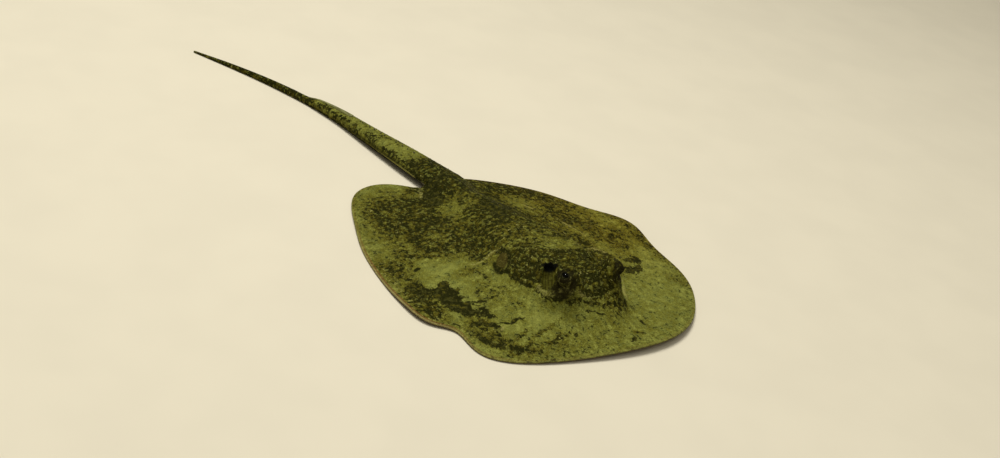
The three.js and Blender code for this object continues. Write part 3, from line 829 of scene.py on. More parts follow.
def paintEyes(mesh, points):  # how near the lids a point is, and where painted shade and shadow go in the spiracles
    x, y, z = points.T
    limit = paint["limit"]
    lid = np.full(len(points), float(limit))
    for side in (1, -1):
        centre = np.array([side * eye["x"], eye["y"], eye["z"]])
        away = np.linalg.norm(points - centre, axis=1) - eye["radius"]
        lid = np.minimum(lid, away - paint["underEye"] * np.maximum(eye["z"] - z, 0))
    setField(mesh, "lid", np.clip(lid, 0, limit))
    depth = spiracleFloor(x, y)[1]
    hollow = smoothStep(*spiracle["within"], depth) * (z < spiracle["z"] + paint["hollowUp"])
    setField(mesh, "hollow", hollow)
    # where the spiracle's opening is painted near-black, as painted shadow
    holeShadow = outlineField(np.abs(x), y, markings["holeShadow"]) - paint["holeShift"] * (x > 0)
    setField(mesh, "holeShadow", np.where(z > paint["holeAbove"], np.clip(holeShadow, -limit, limit), -limit))
    setField(mesh, "ribs", spiracleRibs(x, y))


def paintSkin(mesh, points):  # what the skin's material reads, all in body places
    x, y, z = points.T
    middle, halfWidth, height = along(tail["stations"], y)
    onTail = smoothStep(*paint["tailFrom"], y - paint["tailLean"] * np.abs(x))
    onTail = onTail * (np.abs(x - middle) < paint["tailHalf"])
    paintMargin(mesh, points, 1 - onTail)
    paintMarkings(mesh, points, onTail)
    paintEyes(mesh, points)
    aside = (x - middle) * tailHeading(y)[1]
    onSides = tailShade(y, aside / halfWidth, z / height)
    setField(mesh, "shade", shadeField(x, y) * (1 - onTail) + onSides * onTail)
    fold, least = foldOut(y), paint["foldLeast"]
    foldEdge = np.clip((np.abs(aside) - halfWidth) / np.maximum(fold, least), 0, 2)
    setField(mesh, "foldEdge", foldEdge * onTail * (fold > least))


# The bake map: the body seen from above, and beside it the same for the underside.
sheet = {"left": 105, "near": 108, "span": 445, "inset": (0.01, 0.005), "under": 0.5}


def sheetPlace(x, y, low=0):
    across = (x + sheet["left"]) / sheet["span"] + sheet["inset"][0] + sheet["under"] * low
    return np.stack([across, (y + sheet["near"]) / sheet["span"] + sheet["inset"][1]], 1)


def layOut(mesh, places):
    mesh.uv_layers.new(name="OFBake").data.foreach_set("uv", places.astype(np.float32).ravel())


def mapSkin(mesh, points):
    corners = readAll(mesh.loops, "vertex_index", 1, np.int32)
    totals = readAll(mesh.polygons, "loop_total", 1, np.int32)
    low = np.repeat(readAll(mesh.polygons, "normal", 3)[:, 2] < 0, totals)
    layOut(mesh, sheetPlace(points[corners, 0], points[corners, 1], low))


# Node helpers: each adds to the material that was begun last.
begun = {}


def plug(value, socket):  # links a socket, or sets its plain value
    if isinstance(value, bpy.types.NodeSocket):
        begun["tree"].links.new(value, socket)
    else:
        socket.default_value = (*value, 1) if socket.type == "RGBA" else value


def addNode(kind, inputs=None, **settings):
    made = begun["tree"].nodes.new(kind)
    for name, value in settings.items():
        setattr(made, name, value)
    for name, value in (inputs or {}).items():
        plug(value, made.inputs[name])
    return made


def calc(operation, *values):
    return addNode("ShaderNodeMath", dict(enumerate(values)), operation=operation).outputs[0]


def times(a, b):
    return calc("MULTIPLY", a, b)


def plus(a, b):
    return calc("ADD", a, b)


def minus(a, b):
    return calc("SUBTRACT", a, b)


def timesPlus(a, b, c):
    return calc("MULTIPLY_ADD", a, b, c)


def field(name):
    return addNode("ShaderNodeAttribute", attribute_name=name).outputs["Fac"]


def ramp(value, low, high, start=0.0, end=1.0):
    limits = {"Value": value, "From Min": low, "From Max": high, "To Min": start, "To Max": end}
    return addNode("ShaderNodeMapRange", limits, interpolation_type="SMOOTHSTEP").outputs["Result"]


def blend(share, first, second, how="MIX"):
    made = addNode("ShaderNodeMix", {"Factor": share}, data_type="RGBA", blend_type=how)
    plug(first, made.inputs[6])
    plug(second, made.inputs[7])
    return made.outputs[2]


def grain(place, size, detail=2.0, roughness=0.55, stretch=None):
    if stretch:
        place = addNode("ShaderNodeMapping", {"Vector": place, "Scale": stretch}).outputs[0]
    look = {"Vector": place, "Scale": 1 / size, "Detail": detail, "Roughness": roughness}
    return addNode("ShaderNodeTexNoise", look).outputs["Fac"]


def nudged(place, by):
    return addNode("ShaderNodeVectorMath", {0: place, 1: (by, by * 0.7, -by)}, operation="ADD").outputs[0]


def toneRamp(value, tones):
    made = addNode("ShaderNodeValToRGB", {"Fac": value})
    stops = made.color_ramp.elements
    while len(stops) < len(tones):
        stops.new(0.5)
    for stop, (at, colour) in zip(stops, tones):
        stop.position, stop.color = at, (*colour, 1)
    return made.outputs["Color"]


def beginMaterial(name):  # gives the material, its shader and places in millimetres
    made = bpy.data.materials.new(name)
    made.use_nodes = True
    begun["tree"] = made.node_tree
    place = addNode("ShaderNodeTexCoord").outputs["Object"]
    scale = {0: place, 1: (1 / toMetres,) * 3}
    place = addNode("ShaderNodeVectorMath", scale, operation="MULTIPLY").outputs[0]
    return made, made.node_tree.nodes["Principled BSDF"], place


skinLook = {
    "tones": [  # base colour from the palest skin to the darkest
        (0, (0.217, 0.222, 0.042)), (0.25, (0.130, 0.125, 0.016)), (0.5, (0.084, 0.073, 0.0075)),
        (0.75, (0.050, 0.0415, 0.0035)), (1, (0.028, 0.0240, 0.0020)),
    ],
    "grains": {  # size in mm, detail, roughness, shift
        "coarse": (7, 3, 0.6, 0), "broad": (3.6, 3, 0.6, 90), "middle": (1.8, 3, 0.62, 0),
        "other": (2.4, 2, 0.6, 40), "fine": (0.8, 2, 0.65, 0), "speck": (0.5, 1, 0.5, 0),
    },
    "mottle": 1.8,  # how much the noise shifts the tone
    "flecks": {"sparse": -0.13, "dense": 0.06, "edge": 0.025},
    "light": (0.27, 0.25, 0.066),
    "dark": (0.0170, 0.0172, 0.0022),
    "darkFleck": (0.045, 0.043, 0.008),
    "lid": (0.016, 0.0135, 0.004),
    "grey": (0.190, 0.208, 0.046),
    # painted light: the browner tint laid over the far side
    "farLightCastTint": (1.06, 0.94, 0.72),
    "headShade": 0.8,
    "softLines": 0.32,
    "brown": (0.055, 0.043, 0.008),
    "rimLine": (0.16, 0.075, 0.02),
    "rimHighlightTone": (0.30, 0.24, 0.09),
    "belly": (0.60, 0.53, 0.36),
    "bellyRim": (0.16, 0.12, 0.06),
    # near-black painted shadow for the spiracles' openings
    "hollow": (0.003, 0.003, 0.0015),
    "bump": 0.72,  # mm
}


def skinGrains(place):
    made = {}
    for name, (size, detail, roughness, shift) in skinLook["grains"].items():
        made[name] = grain(nudged(place, shift) if shift else place, size, detail, roughness)
    return made


def paintTone(noise, shade):  # the shade laid out on the body, shifted by mottling
    look = skinLook
    shift = plus(times(noise["coarse"], 0.4), times(noise["broad"], 0.6))
    tone = timesPlus(minus(shift, 0.47), look["mottle"], shade)
    # painted highlight: the knob tops are painted paler than the skin around them
    knob = times(field("knob"), times(shade, 0.6))
    colour = toneRamp(minus(tone, knob), look["tones"])
    grey = times(ramp(noise["broad"], 0.47, 0.6, 0, 0.6), ramp(shade, 0, 0.7, 1, 0.08))
    return blend(grey, colour, look["grey"])


def paintFlecks(noise, shade, head, colour):
    look, flecks = skinLook, skinLook["flecks"]
    broad, middle, knob = noise["broad"], noise["middle"], field("knob")
    # painted shade: dark gaps between the knobs of the head
    knobGapShade = times(ramp(knob, 0.03, 0.3, 1, 0), ramp(middle, 0.36, 0.5))
    colour = blend(times(times(knobGapShade, head), 0.9), colour, look["dark"])
    # dark flecks and blots, few on the pale skin and crowded on the dark
    room = ramp(shade, 0, 1, flecks["sparse"], flecks["dense"])
    clumps = timesPlus(minus(broad, 0.5), 0.7, times(middle, 0.7))
    fleck = ramp(plus(minus(clumps, 0.35), room), -flecks["edge"], flecks["edge"])
    blot = ramp(timesPlus(minus(shade, 0.75), 0.22, broad), 0.5, 0.54)
    fleck = calc("MAXIMUM", fleck, times(blot, ramp(shade, 0.35, 0.7, 0, 0.9)))
    fleck = times(times(fleck, ramp(head, 0, 1, 1, 0.6)), ramp(shade, 0, 0.5, 0.65, 1))
    # fewer dark flecks on the knob tops, which keeps them pale as a painted highlight
    colour = blend(times(fleck, ramp(knob, 0.35, 0.7, 1, 0.15)), colour, look["dark"])
    # pale flecks, and bright tips on the nubs, which are painted glints
    pale = times(ramp(noise["other"], 0.56, 0.62), ramp(shade, 0.1, 0.5, 0.1, 0.42))
    colour = blend(pale, colour, look["tones"][0][1])
    bright = times(ramp(field("nub"), 0.62, 0.9), ramp(middle, 0.47, 0.56))
    return blend(times(bright, ramp(shade, 0.2, 0.6, 0.1, 0.85)), colour, look["light"])


def paintEyespot(colour):  # brown, between dark crescents
    spot = field("eyespot")
    side = ramp(calc("ABSOLUTE", field("spotSide")), 1.2, 3.2)
    crescents = times(ramp(spot, 0.72, 0.92), ramp(spot, 1.1, 1.5, 1, 0))
    colour = blend(ramp(spot, 0.8, 1.0, 0.9, 0), colour, skinLook["brown"])
    return blend(times(crescents, times(side, 0.95)), colour, skinLook["dark"])


def paintMarks(noise, marked, colour):  # jagged dark patches with paler flecks inside, and lines
    look = skinLook
    patch = calc("MAXIMUM", marked("darkPatch"), marked("darkLine", wild=0.25))
    tone = blend(ramp(noise["other"], 0.5, 0.6), look["dark"], look["darkFleck"])
    tone = blend(ramp(noise["broad"], 0.56, 0.64, 0, 0.8), tone, look["tones"][2][1])
    colour = blend(patch, colour, tone)
    line = times(marked("paleLine", -0.7, 0.6, 0.3), ramp(noise["middle"], 0.36, 0.56, 0.4, 0.8))
    return blend(line, colour, look["light"])


def paintRim(noise, margin, colour):  # dark spots, a brown line, and a thin pale edge that is a painted highlight where the margin is lit
    look, glow = skinLook, field("rimHighlight")
    spots = times(ramp(margin, 5, 15, 1, 0), ramp(noise["middle"], 0.52, 0.58))
    colour = blend(times(spots, 0.45), colour, look["dark"])
    # pale spots along the lit stretch of the margin, part of its painted highlight
    spots = times(ramp(margin, 2, 9, 0.8, 0), ramp(noise["other"], 0.58, 0.64))
    colour = blend(times(spots, glow), colour, look["light"])
    line = times(ramp(margin, 0.7, 1.1), ramp(margin, 1.5, 2.2, 1, 0))
    colour = blend(times(line, ramp(glow, 0, 1, 0.15, 0.8)), colour, look["rimLine"])
    # painted highlight: the thin pale edge of the lit margin
    edge = times(ramp(margin, 0.5, 1.0, 1, 0), ramp(glow, 0, 1, 0.12, 0.75))
    return blend(edge, colour, look["rimHighlightTone"])


def paintOver(noise, shade, colour):  # fine grain, streaks along the fin rays, and the far side tinted browner as painted light, for the colour of the light there
    strength = ramp(shade, 0.05, 0.5, 0.45, 1)
    colour = blend(strength, colour, ramp(noise["fine"], 0.32, 0.68, 0.62, 1.45), "MULTIPLY")
    colour = blend(strength, colour, ramp(noise["speck"], 0.3, 0.7, 0.75, 1.25), "MULTIPLY")
    streak = ramp(field("ray"), -1, 1, 0.92, 1.08)
    colour = blend(ramp(shade, 0, 0.5, 0.8, 0), colour, streak, "MULTIPLY")
    return blend(field("farLightCast"), colour, skinLook["farLightCastTint"], "MULTIPLY")


def paintEdges(noise, margin, colour):  # side fold of the tail, lids, spiracles and underside, with painted shadow at the fold and in the spiracles
    look, fold = skinLook, field("foldEdge")
    # painted shadow: dark where the side fold leaves the tail, above and below it; the fold's pale outer
    # edge is skin colour
    colour = blend(ramp(fold, 0.05, 0.4, 0, 0.6), colour, look["dark"])
    colour = blend(ramp(fold, 0.72, 0.86, 0, 0.8), colour, look["light"])
    lid = times(ramp(field("lid"), 0.8, 3.9, 0.92, 0), ramp(noise["middle"], 0.44, 0.58, 1, 0.55))
    colour = blend(lid, colour, look["lid"])
    # inside the spiracle: painted shade in the rib grooves and paler rib crests as painted highlight
    valve = blend(ramp(field("ribs"), 0, 1, 0.12, 0.85), look["tones"][4][1], look["tones"][1][1])
    colour = blend(times(field("hollow"), 0.8), colour, valve)
    # painted shadow: the spiracle's deep opening in near-black
    colour = blend(ramp(field("holeShadow"), -0.9, 0.7), colour, look["hollow"])
    belly = blend(ramp(margin, 4, 14, 1, 0), look["belly"], look["bellyRim"])
    belly = blend(ramp(noise["coarse"], 0.5, 0.7, 0, 0.3), belly, look["bellyRim"])
    return blend(field("belly"), colour, belly)


def skinMaterial():
    made, shader, place = beginMaterial("raySkin")
    noise = skinGrains(place)
    jag = plus(timesPlus(noise["coarse"], 14.0, -7.0), timesPlus(noise["middle"], 9.0, -4.5))

    def marked(name, low=-0.3, high=0.3, wild=1.0):
        return ramp(timesPlus(jag, wild, field(name)), low, high)

    head = marked("headCover", -0.8, 0.8, wild=0.5)
    shade = calc("MAXIMUM", field("shade"), times(head, skinLook["headShade"]))
    shade = plus(shade, times(marked("softLine", -1.2, 1.0, 0.5), skinLook["softLines"]))
    margin = field("margin")
    colour = paintFlecks(noise, shade, head, paintTone(noise, shade))
    colour = paintMarks(noise, marked, paintEyespot(colour))
    colour = paintOver(noise, shade, paintRim(noise, margin, colour))
    plug(paintEdges(noise, margin, colour), shader.inputs["Base Color"])

    plug(ramp(noise["middle"], 0.3, 0.7, 0.5, 0.7), shader.inputs["Roughness"])
    shader.inputs["Specular IOR Level"].default_value = 0.03
    shader.inputs["IOR"].default_value = 1.4
    height = plus(times(noise["fine"], 0.6), times(noise["speck"], 0.3))
    height = plus(height, times(noise["middle"], 1.2))
    bump = {"Height": height, "Strength": 1.0, "Distance": skinLook["bump"] * toMetres}
    plug(addNode("ShaderNodeBump", bump).outputs[0], shader.inputs["Normal"])
    return made


raySkin = buildSkin()
skinPoints = softenSkin(raySkin)
paintSkin(raySkin.data, skinPoints)
mapSkin(raySkin.data, skinPoints)
raySkin.data.materials.clear()
raySkin.data.materials.append(skinMaterial())
raySkin.data.shade_smooth()
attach(raySkin, "root")
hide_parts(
    "snout", "head", "trunk", "pectoral_fin_left", "pectoral_fin_right",
    "pelvic_fin_left", "pelvic_fin_right", "tail_base", "tail_middle", "tail_rear", "tail_tip",
)
triangles = sum(len(face.vertices) - 2 for face in raySkin.data.polygons)
print("skin built,", len(raySkin.data.vertices), "points,", triangles, "triangles")

# Denticles: small star-footed prickles, crowded on the head and along the back.
denticles = {
    "step": 2.1,  # mm between places
    "cells": ((-50, 60), (-52, 90)),  # first and last cell across and along
    "onSkin": 1.2,  # how near its place the skin has to be
    "share": {"head": 0.65, "back": 0.7, "shade": 0.55, "fin": 0.12, "tail": 0.5},
    "back": {"half": 17, "from": -30},
    "radius": (0.26, 0.52),
    "height": (0.22, 0.42),
    "lean": 0.5,
    "inFromEdge": 3,
    "bright": (0.20, 0.185, 0.065),
    "brightShare": 0.3,
    "tints": (0.25, 0.9),
    "lidFrom": 1.2,  # mm they keep off the lids
    "under": {"holeShadow": -0.5, "hollow": 0.2, "foldEdge": 0.1},
}
thorns = {
    "from": 98, "to": 180, "step": 5.6,
    "radius": (0.75, 1.05), "height": (1.0, 1.5), "lean": 1.1, "stray": 0.5,
    "tone": 0.9, "bone": (0.15, 0.14, 0.055), "stain": (0.045, 0.040, 0.010),
}
prickle = {"points": 8, "inner": 0.72, "waist": 0.5, "waistUp": 0.45, "waistBack": 0.35,
           "sunk": 0.15, "patch": 0.0015, "facing": 0.3}


def upperSkin():  # a lookup from a place on the plan to the skin above it
    normals = readAll(raySkin.data.vertices, "normal", 3)
    upper = np.flatnonzero(normals[:, 2] > prickle["facing"])
    finder = KDTree(len(upper))
    for k in upper:
        finder.insert((*skinPoints[k, :2], 0), int(k))
    finder.balance()
    return finder, normals


def spreadBetween(limits, share):
    return limits[0] + (limits[1] - limits[0]) * share


def prickleFaces(count):  # a star foot, drawn in to a waist and up to a tip
    points = prickle["points"]
    k = np.arange(points)
    after = (k + 1) % points
    tip, foot = np.full(points, 2 * points), np.full(points, 2 * points + 1)
    corners = [(k, after, after + points), (k, after + points, k + points),
               (k + points, after + points, tip), (after, k, foot)]
    faces = np.concatenate([np.stack(corner, 1) for corner in corners])
    first = np.arange(count) * (2 * points + 2)
    return (faces[None] + first[:, None, None]).reshape(-1, 3).tolist()


def pricklePoints(at, look, size, heights, turn):
    roots, normals = skinPoints[at], skinNormals[at]
    radius, height = spreadBetween(look["radius"], size), spreadBetween(look["height"], heights)
    up = normals / np.linalg.norm(normals, axis=1)[:, None]
    back = np.array([0, 1, 0]) - up * up[:, 1:2]
    back = back / np.linalg.norm(back, axis=1)[:, None]
    side = np.cross(back, up)
    star = np.where(np.arange(len(turn)) % 2, prickle["inner"], 1)

    def ring(share, rise, shift):
        out = side[:, None] * (np.cos(turn) * star * share)[:, None]
        out = (out + back[:, None] * (np.sin(turn) * star * share)[:, None]) * radius[:, None, None]
        lift = up * (height * rise)[:, None] + back * (radius * look["lean"] * shift)[:, None]
        return roots[:, None] + out + lift[:, None]

    foot = ring(1, -prickle["sunk"], 0)
    waist = ring(prickle["waist"], prickle["waistUp"], prickle["waistBack"])
    middle = ring(0, -prickle["sunk"], 0)[:, :1]
    return np.concatenate([foot, waist, ring(0, 1, 1)[:, :1], middle], 1)


def mapPrickles(mesh, roots, turn):  # each on a small round patch of the sheet, at its root
    out = np.concatenate([np.ones(len(turn)), np.full(len(turn), prickle["waist"]), [0, 0]])
    out = out * prickle["patch"]
    spin = np.concatenate([turn, turn, [0, 0]])
    local = np.stack([np.cos(spin) * out, np.sin(spin) * out], 1)
    flat = (sheetPlace(roots[:, 0], roots[:, 1])[:, None] + local[None]).reshape(-1, 2)
    layOut(mesh, flat[readAll(mesh.loops, "vertex_index", 1, np.int32)])


def plantPrickles(name, at, look, size, heights, fields):  # one at each skin point in at
    points = prickle["points"]
    turn = np.linspace(0, 2 * np.pi, points, endpoint=False)
    made = pricklePoints(at, look, size, heights, turn)
    piece = makeObject(name, made.reshape(-1, 3), prickleFaces(len(at)))
    mapPrickles(piece.data, skinPoints[at], turn)
    for fieldName, values in fields.items():
        setField(piece.data, fieldName, np.repeat(values, made.shape[1]))
    tipward = np.concatenate([np.zeros(points), np.full(points, prickle["waistUp"]), [1, 0]])
    setField(piece.data, "tipward", np.tile(tipward, len(at)))
    piece.data.shade_smooth()
    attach(piece, "root")
    return piece


def prickleMaterial(name, low, high):
    made, shader, place = beginMaterial(name)
    noise = grain(place, 0.6, 2, 0.6)
    base = toneRamp(timesPlus(minus(noise, 0.5), 0.5, field("tone")), skinLook["tones"])
    tip = blend(noise, low, high)
    share = times(field("tint"), ramp(field("tipward"), 0, 1, 0.35, 1))
    plug(blend(share, base, tip), shader.inputs["Base Color"])
    plug(ramp(noise, 0.3, 0.7, 0.4, 0.6), shader.inputs["Roughness"])
    shader.inputs["Specular IOR Level"].default_value = 0.12
    return made


def buildDenticles():
    (west, east), (front, rear) = denticles["cells"]
    cx, cy = np.meshgrid(np.arange(west, east), np.arange(front, rear))
    cx, cy = cx.ravel(), cy.ravel()
    x = (cx + 0.1 + 0.8 * scatter(cx, cy, seed=61)) * denticles["step"]
    y = (cy + 0.1 + 0.8 * scatter(cx, cy, seed=62)) * denticles["step"]
    found = [skinFinder.find((a, b, 0)) for a, b in zip(x, y)]
    at = np.array([k for _, k, _ in found])

    def read(name):
        return readAll(raySkin.data.attributes[name].data, "value")[at]

    head, shade, margin = read("headCover") > 0, read("shade"), read("margin")
    share, back = denticles["share"], denticles["back"]
    onBack = (np.abs(x) < back["half"]) & (y > back["from"])
    chance = np.maximum(share["fin"], share["shade"] * shade)
    chance = np.maximum(chance, share["back"] * onBack)
    onTail = margin > paint["farIn"] - 0.1
    chance = np.where(head, share["head"], np.where(onTail, share["tail"], chance))
    kept = np.array([away < denticles["onSkin"] for _, _, away in found])
    kept &= (margin > denticles["inFromEdge"]) & (scatter(cx, cy, seed=63) < chance)
    kept &= read("lid") > denticles["lidFrom"]
    for name, most in denticles["under"].items():
        kept &= read(name) < most
    cx, cy = cx[kept], cy[kept]
    size = scatter(cx, cy, seed=64)
    patch = (np.maximum(read("darkPatch"), read("darkLine")) > 0)[kept]
    tone = np.where(patch, 1, np.maximum(shade, skinLook["headShade"] * head)[kept])
    dull, bright = denticles["tints"]
    tint = np.where(scatter(cx, cy, seed=65) < denticles["brightShare"], bright, dull)
    tint = tint * (0.4 + 0.6 * size)
    made = plantPrickles("rayDenticles", at[kept], denticles, size, scatter(cx, cy, seed=66),
                         {"tone": tone, "tint": tint})
    material = prickleMaterial("rayDenticle", skinLook["tones"][1][1], denticles["bright"])
    made.data.materials.append(material)
    print("denticles built,", len(size))


def buildThorns():
    y = np.arange(thorns["from"], thorns["to"], thorns["step"])
    k = np.arange(len(y))
    y = y + thorns["stray"] * (scatter(k, k, seed=71) - 0.5) * thorns["step"]
    x = along(tail["stations"], y)[0] + thorns["stray"] * (scatter(k, k, seed=72) - 0.5)
    at = np.array([skinFinder.find((a, b, 0))[1] for a, b in zip(x, y)])
    size = scatter(k, k, seed=73)
    tone = np.full(len(at), thorns["tone"])
    made = plantPrickles("tailThorns", at, thorns, size, size, {"tone": tone, "tint": tone})
    made.data.materials.append(prickleMaterial("rayThorn", thorns["stain"], thorns["bone"]))
    print("thorns built,", len(at))


skinFinder, skinNormals = upperSkin()
buildDenticles()
buildThorns()

# The eyes: a ball with a sunk iris and a clear cornea over it. Angles are in degrees.
eyeLook = {
    "iris": (0.013, 0.0125, 0.0035),
    "irisFleck": (0.048, 0.047, 0.014),
    "white": (0.018, 0.015, 0.005),
    "pupil": (0.0015, 0.0015, 0.001),
    "film": ((0.006, 0.006, 0.004), (0.02, 0.018, 0.010)),
    "sides": 64,
    "play": 0.12,  # mm between the ball and the room left for it
    "irisHalf": 40,  # from the gaze line
    "irisEdge": 6,
    "sunk": 0.35,
    "whiteFrom": (34, 38),
    "pupilHalf": (31.0, 23.0),
    "pupilUp": 7,
    "pupilSunk": 0.25,
    "pupilSlope": (14, 17),
    "frill": {"close": 1.3, "height": 1.2, "low": 7.0, "half": 15.0, "drop": 6.0, "from": 25.0},
    "corneaHalf": 42,
    "corneaUp": 0.25,
    "corneaSeat": 0.02,
    "corneaWall": 0.02,  # share of its distance from the middle
}


def ballPoints(side, radius, shape, rings=48, stop=180):  # rings round the gaze line, front to back
    gaze, ahead, up = eyeAxes(side)
    centre = np.array([side * eye["x"], eye["y"], eye["z"]])
    angle = np.linspace(0, stop, rings + 1)[1:-1 if stop == 180 else None]
    turn = np.linspace(0, 2 * np.pi, eyeLook["sides"], endpoint=False)
    a, t = np.meshgrid(np.radians(angle), turn, indexing="ij")
    away = radius + shape(np.degrees(a))
    direction = (np.cos(a)[..., None] * gaze + (np.sin(a) * np.cos(t))[..., None] * ahead
                 + (np.sin(a) * np.sin(t))[..., None] * up)
    return centre, centre + direction * away[..., None], gaze


def irisShape(angle):
    half, look = eyeLook["irisHalf"], eyeLook
    iris = look["sunk"] * (1 - smoothStep(half - look["irisEdge"], half, angle))
    return -iris - look["pupilSunk"] * (1 - smoothStep(*look["pupilSlope"], angle))


def corneaShape(angle):
    rise = eyeLook["corneaUp"] * (1 - smoothStep(0, eyeLook["corneaHalf"], angle))
    return rise - eyeLook["corneaSeat"]


def layGaze(mesh, side, offset):  # how far each point turns from the gaze line, in all, ahead and up
    reach = np.linalg.norm(offset, axis=1)
    toward, ahead, up = (offset @ eyeAxes(side).T / reach[:, None]).T
    setField(mesh, "gazeAngle", np.degrees(np.arccos(np.clip(toward, -1, 1))))
    setField(mesh, "gazeAhead", np.degrees(ahead))
    setField(mesh, "gazeUp", np.degrees(up))


def makeEye(side, name):
    look = eyeLook
    radius = eye["radius"] - look["play"]
    centre, rings, gaze = ballPoints(side, radius, irisShape)
    front = centre + gaze * (radius - look["sunk"] - look["pupilSunk"])
    points, faces = closedTube(rings, front, centre - gaze * radius)
    ball = len(faces)
    shell = ballPoints(side, radius, corneaShape, rings=16, stop=look["corneaHalf"])[1]
    inner = shell - (shell - centre) * look["corneaWall"]
    top = gaze * (radius + look["corneaUp"])
    shellPoints, shellFaces = closedTube(np.concatenate([shell, inner[::-1]]), centre + top,
                                         centre + top * (1 - look["corneaWall"]))
    faces = faces + [[k + len(points) for k in face] for face in shellFaces]
    points = np.concatenate([points, shellPoints])
    made = makeObject(name, points, faces, turned=side > 0)
    layGaze(made.data, side, points - centre)
    for material in (irisMaterial, corneaMaterial):
        made.data.materials.append(material)
    made.data.polygons.foreach_set("material_index", [0 if k < ball else 1 for k in range(len(faces))])
    made.data.shade_smooth()
    return made


def squared(value, half):
    return calc("POWER", calc("DIVIDE", value, half), 2.0)


def makeIrisMaterial():
    look, form = eyeLook, eyeLook["frill"]
    made, shader, place = beginMaterial("rayIris")
    angle, ahead, up = field("gazeAngle"), field("gazeAhead"), field("gazeUp")
    fleck = grain(place, 0.45, 3, 0.6)
    colour = blend(ramp(fleck, 0.45, 0.7), look["iris"], look["irisFleck"])
    colour = blend(ramp(angle, *look["whiteFrom"]), colour, look["white"])
    # the pupil is a wide oval, and a frilled lid of the iris hangs into it from above
    up = minus(up, look["pupilUp"])
    long, high = look["pupilHalf"]
    oval = calc("SQRT", plus(squared(ahead, long), squared(up, high)))
    frill = timesPlus(calc("SINE", times(ahead, form["close"])), form["height"], form["low"])
    hang = minus(frill, times(squared(ahead, form["half"]), form["drop"]))
    lidOpen = ramp(minus(up, minus(form["from"], hang)), -0.6, 0.6, 1, 0)
    pupil = times(ramp(oval, 0.94, 1.06, 1, 0), lidOpen)
    plug(blend(pupil, colour, look["pupil"]), shader.inputs["Base Color"])
    plug(ramp(fleck, 0.3, 0.7, 0.3, 0.45), shader.inputs["Roughness"])
    shader.inputs["Specular IOR Level"].default_value = 0.004
    return made


def makeCorneaMaterial():
    made, shader, place = beginMaterial("rayCornea")
    film = grain(place, 1.5, 2)
    plug(blend(film, *eyeLook["film"]), shader.inputs["Base Color"])
    plug(ramp(film, 0.3, 0.7, 0.03, 0.07), shader.inputs["Roughness"])
    shader.inputs["Alpha"].default_value = 0.03
    shader.inputs["IOR"].default_value = 1.4
    return made


irisMaterial, corneaMaterial = makeIrisMaterial(), makeCorneaMaterial()
for side, name, node in ((1, "eyeLeft", "eye_left"), (-1, "eyeRight", "eye_right")):
    made = makeEye(side, name)
    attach(made, "root")
    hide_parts(node)
print("eyes built")

# The sting: a flat blade with a ribbed back and barbs along both edges.
sting = {
    "root": 184, "tip": 227, "half": 1.7, "thickness": 2.2, "sink": 0.9, "rise": 0.9,
    "rings": 120, "sides": 24, "last": 0.985,  # share of the length that the rings reach
    "barbs": 26, "barb": 0.16, "barbsFrom": (0.25, 0.4),
    "groove": 0.08, "grooveClose": 9, "below": 0.42, "above": 0.55,
    "ends": ((0, 0.8, 0), (0, 0.5, 0)),  # how far past the rings it is closed
    "bone": (0.235, 0.235, 0.070), "stain": (0.12, 0.115, 0.030),
}


def stingRing(share):
    turn = np.linspace(0, 2 * np.pi, sting["sides"], endpoint=False)
    across, up = np.cos(turn), np.sin(turn)
    place = sting["root"] + (sting["tip"] - sting["root"]) * share
    middle, _, height = along(tail["stations"], np.array(place))
    taper = np.sqrt(1 - share)
    tooth = (share * sting["barbs"]) % 1
    barb = sting["barb"] * tooth * smoothStep(*sting["barbsFrom"], share)
    half = sting["half"] * taper * (1 - barb)
    base = height - sting["sink"] + sting["rise"] * share
    grooves = 1 - sting["groove"] * np.cos(across * sting["grooveClose"]) * (up > 0)
    below = sting["below"]
    level = below + np.where(up > 0, sting["above"] * up * grooves, below * up)
    z = base + sting["thickness"] * taper * level
    return np.stack([middle + half * across, np.full(sting["sides"], place), z], 1)


def buildSting():
    rings = [stingRing(share) for share in np.linspace(0, sting["last"], sting["rings"])]
    before, after = sting["ends"]
    root, tip = rings[0].mean(0) - before, rings[-1].mean(0) + after
    made = makeObject("stingBlade", *closedTube(rings, root, tip))
    material, shader, place = beginMaterial("stingBone")
    streak = grain(place, 1.2, 3, 0.6, stretch=(1, 0.15, 1))
    tone = blend(ramp(streak, 0.4, 0.62), sting["stain"], sting["bone"])
    plug(tone, shader.inputs["Base Color"])
    plug(ramp(streak, 0.3, 0.7, 0.35, 0.55), shader.inputs["Roughness"])
    made.data.materials.append(material)
    made.data.shade_smooth()
    return made


stingBlade = buildSting()
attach(stingBlade, "root")
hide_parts("tail_sting")
print("sting built")

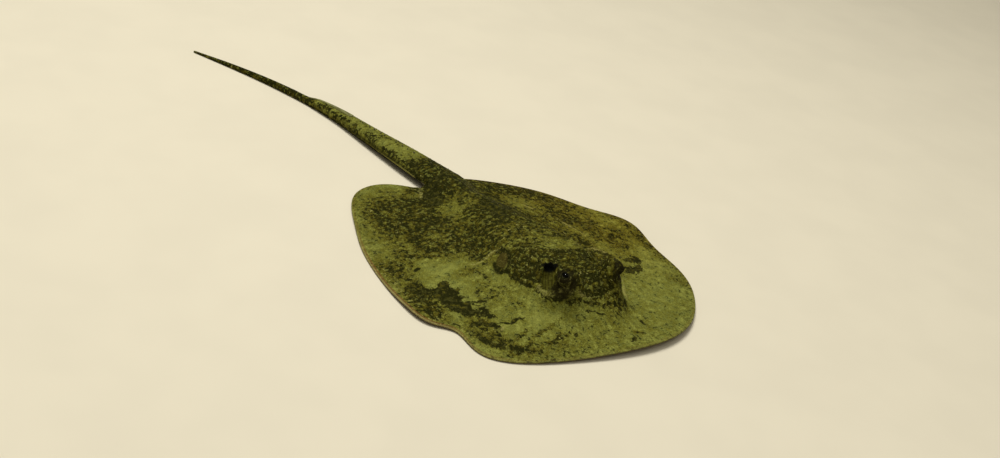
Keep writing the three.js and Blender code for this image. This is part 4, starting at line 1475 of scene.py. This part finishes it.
# Studio: pale floor, soft lights and the camera.
studio = {
    "floor": (0.74, 0.67, 0.50),
    "floorHalf": 8000,  # mm
    "floorLow": 0.2,
    "sky": (1.0, 0.95, 0.80),
    "skyStrength": 0.2,
    "lights": {  # place, size, watts
        "keySoft": ((-0.1, 0.5, 1.7), 0.9, 26),
        "overSoft": ((-0.5, -0.6, 1.6), 1.6, 7),
    },
    "aim": (0, 0, 0.01),
}


def buildFloor():
    half, low = studio["floorHalf"], -studio["floorLow"]
    corners = [(-half, -half, low), (half, -half, low), (half, half, low), (-half, half, low)]
    made = makeObject("paleFloor", corners, [[0, 1, 2, 3]])
    material, shader, place = beginMaterial("paleFloor")
    dim = tuple(0.97 * c for c in studio["floor"])
    tone = blend(ramp(grain(place, 60, 2), 0.3, 0.7), studio["floor"], dim)
    plug(tone, shader.inputs["Base Color"])
    shader.inputs["Roughness"].default_value = 0.9
    made.data.materials.append(material)


def buildLights():
    for name, (place, size, watts) in studio["lights"].items():
        lamp = bpy.data.lights.new(name, "AREA")
        lamp.shape = "DISK"
        lamp.size = size
        lamp.energy = watts
        holder = bpy.data.objects.new(name, lamp)
        holder.location = place
        holder.rotation_euler = (Vector(studio["aim"]) - Vector(place)).to_track_quat("-Z", "Y").to_euler()
        bpy.context.scene.collection.objects.link(holder)
    sky = bpy.data.worlds.new("softSky")
    sky.use_nodes = True
    glow = sky.node_tree.nodes["Background"].inputs
    glow[0].default_value = (*studio["sky"], 1)
    glow[1].default_value = studio["skyStrength"]
    bpy.context.scene.world = sky


view = {  # where the camera stands, and its right and up
    "place": (-0.45322, -0.45465, 0.36906),
    "right": (0.78445, -0.58407, 0.20859),
    "up": (0.14777, 0.50266, 0.85176),
    "lens": 43.13,
    "sensor": 36,
}


def buildCamera():
    lens = bpy.data.cameras.new("studioCamera")
    lens.lens, lens.sensor_width = view["lens"], view["sensor"]
    lens.clip_start = 0.01
    holder = bpy.data.objects.new("studioCamera", lens)
    right = Vector(view["right"]).normalized()
    up = Vector(view["up"]).normalized()
    back = right.cross(up)
    turned = Matrix((right, up, back)).transposed().to_4x4()
    holder.matrix_world = Matrix.Translation(view["place"]) @ turned
    bpy.context.scene.collection.objects.link(holder)
    bpy.context.scene.camera = holder


buildFloor()
buildLights()
buildCamera()
bpy.context.scene.view_settings.view_transform = "Standard"
print("studio built")
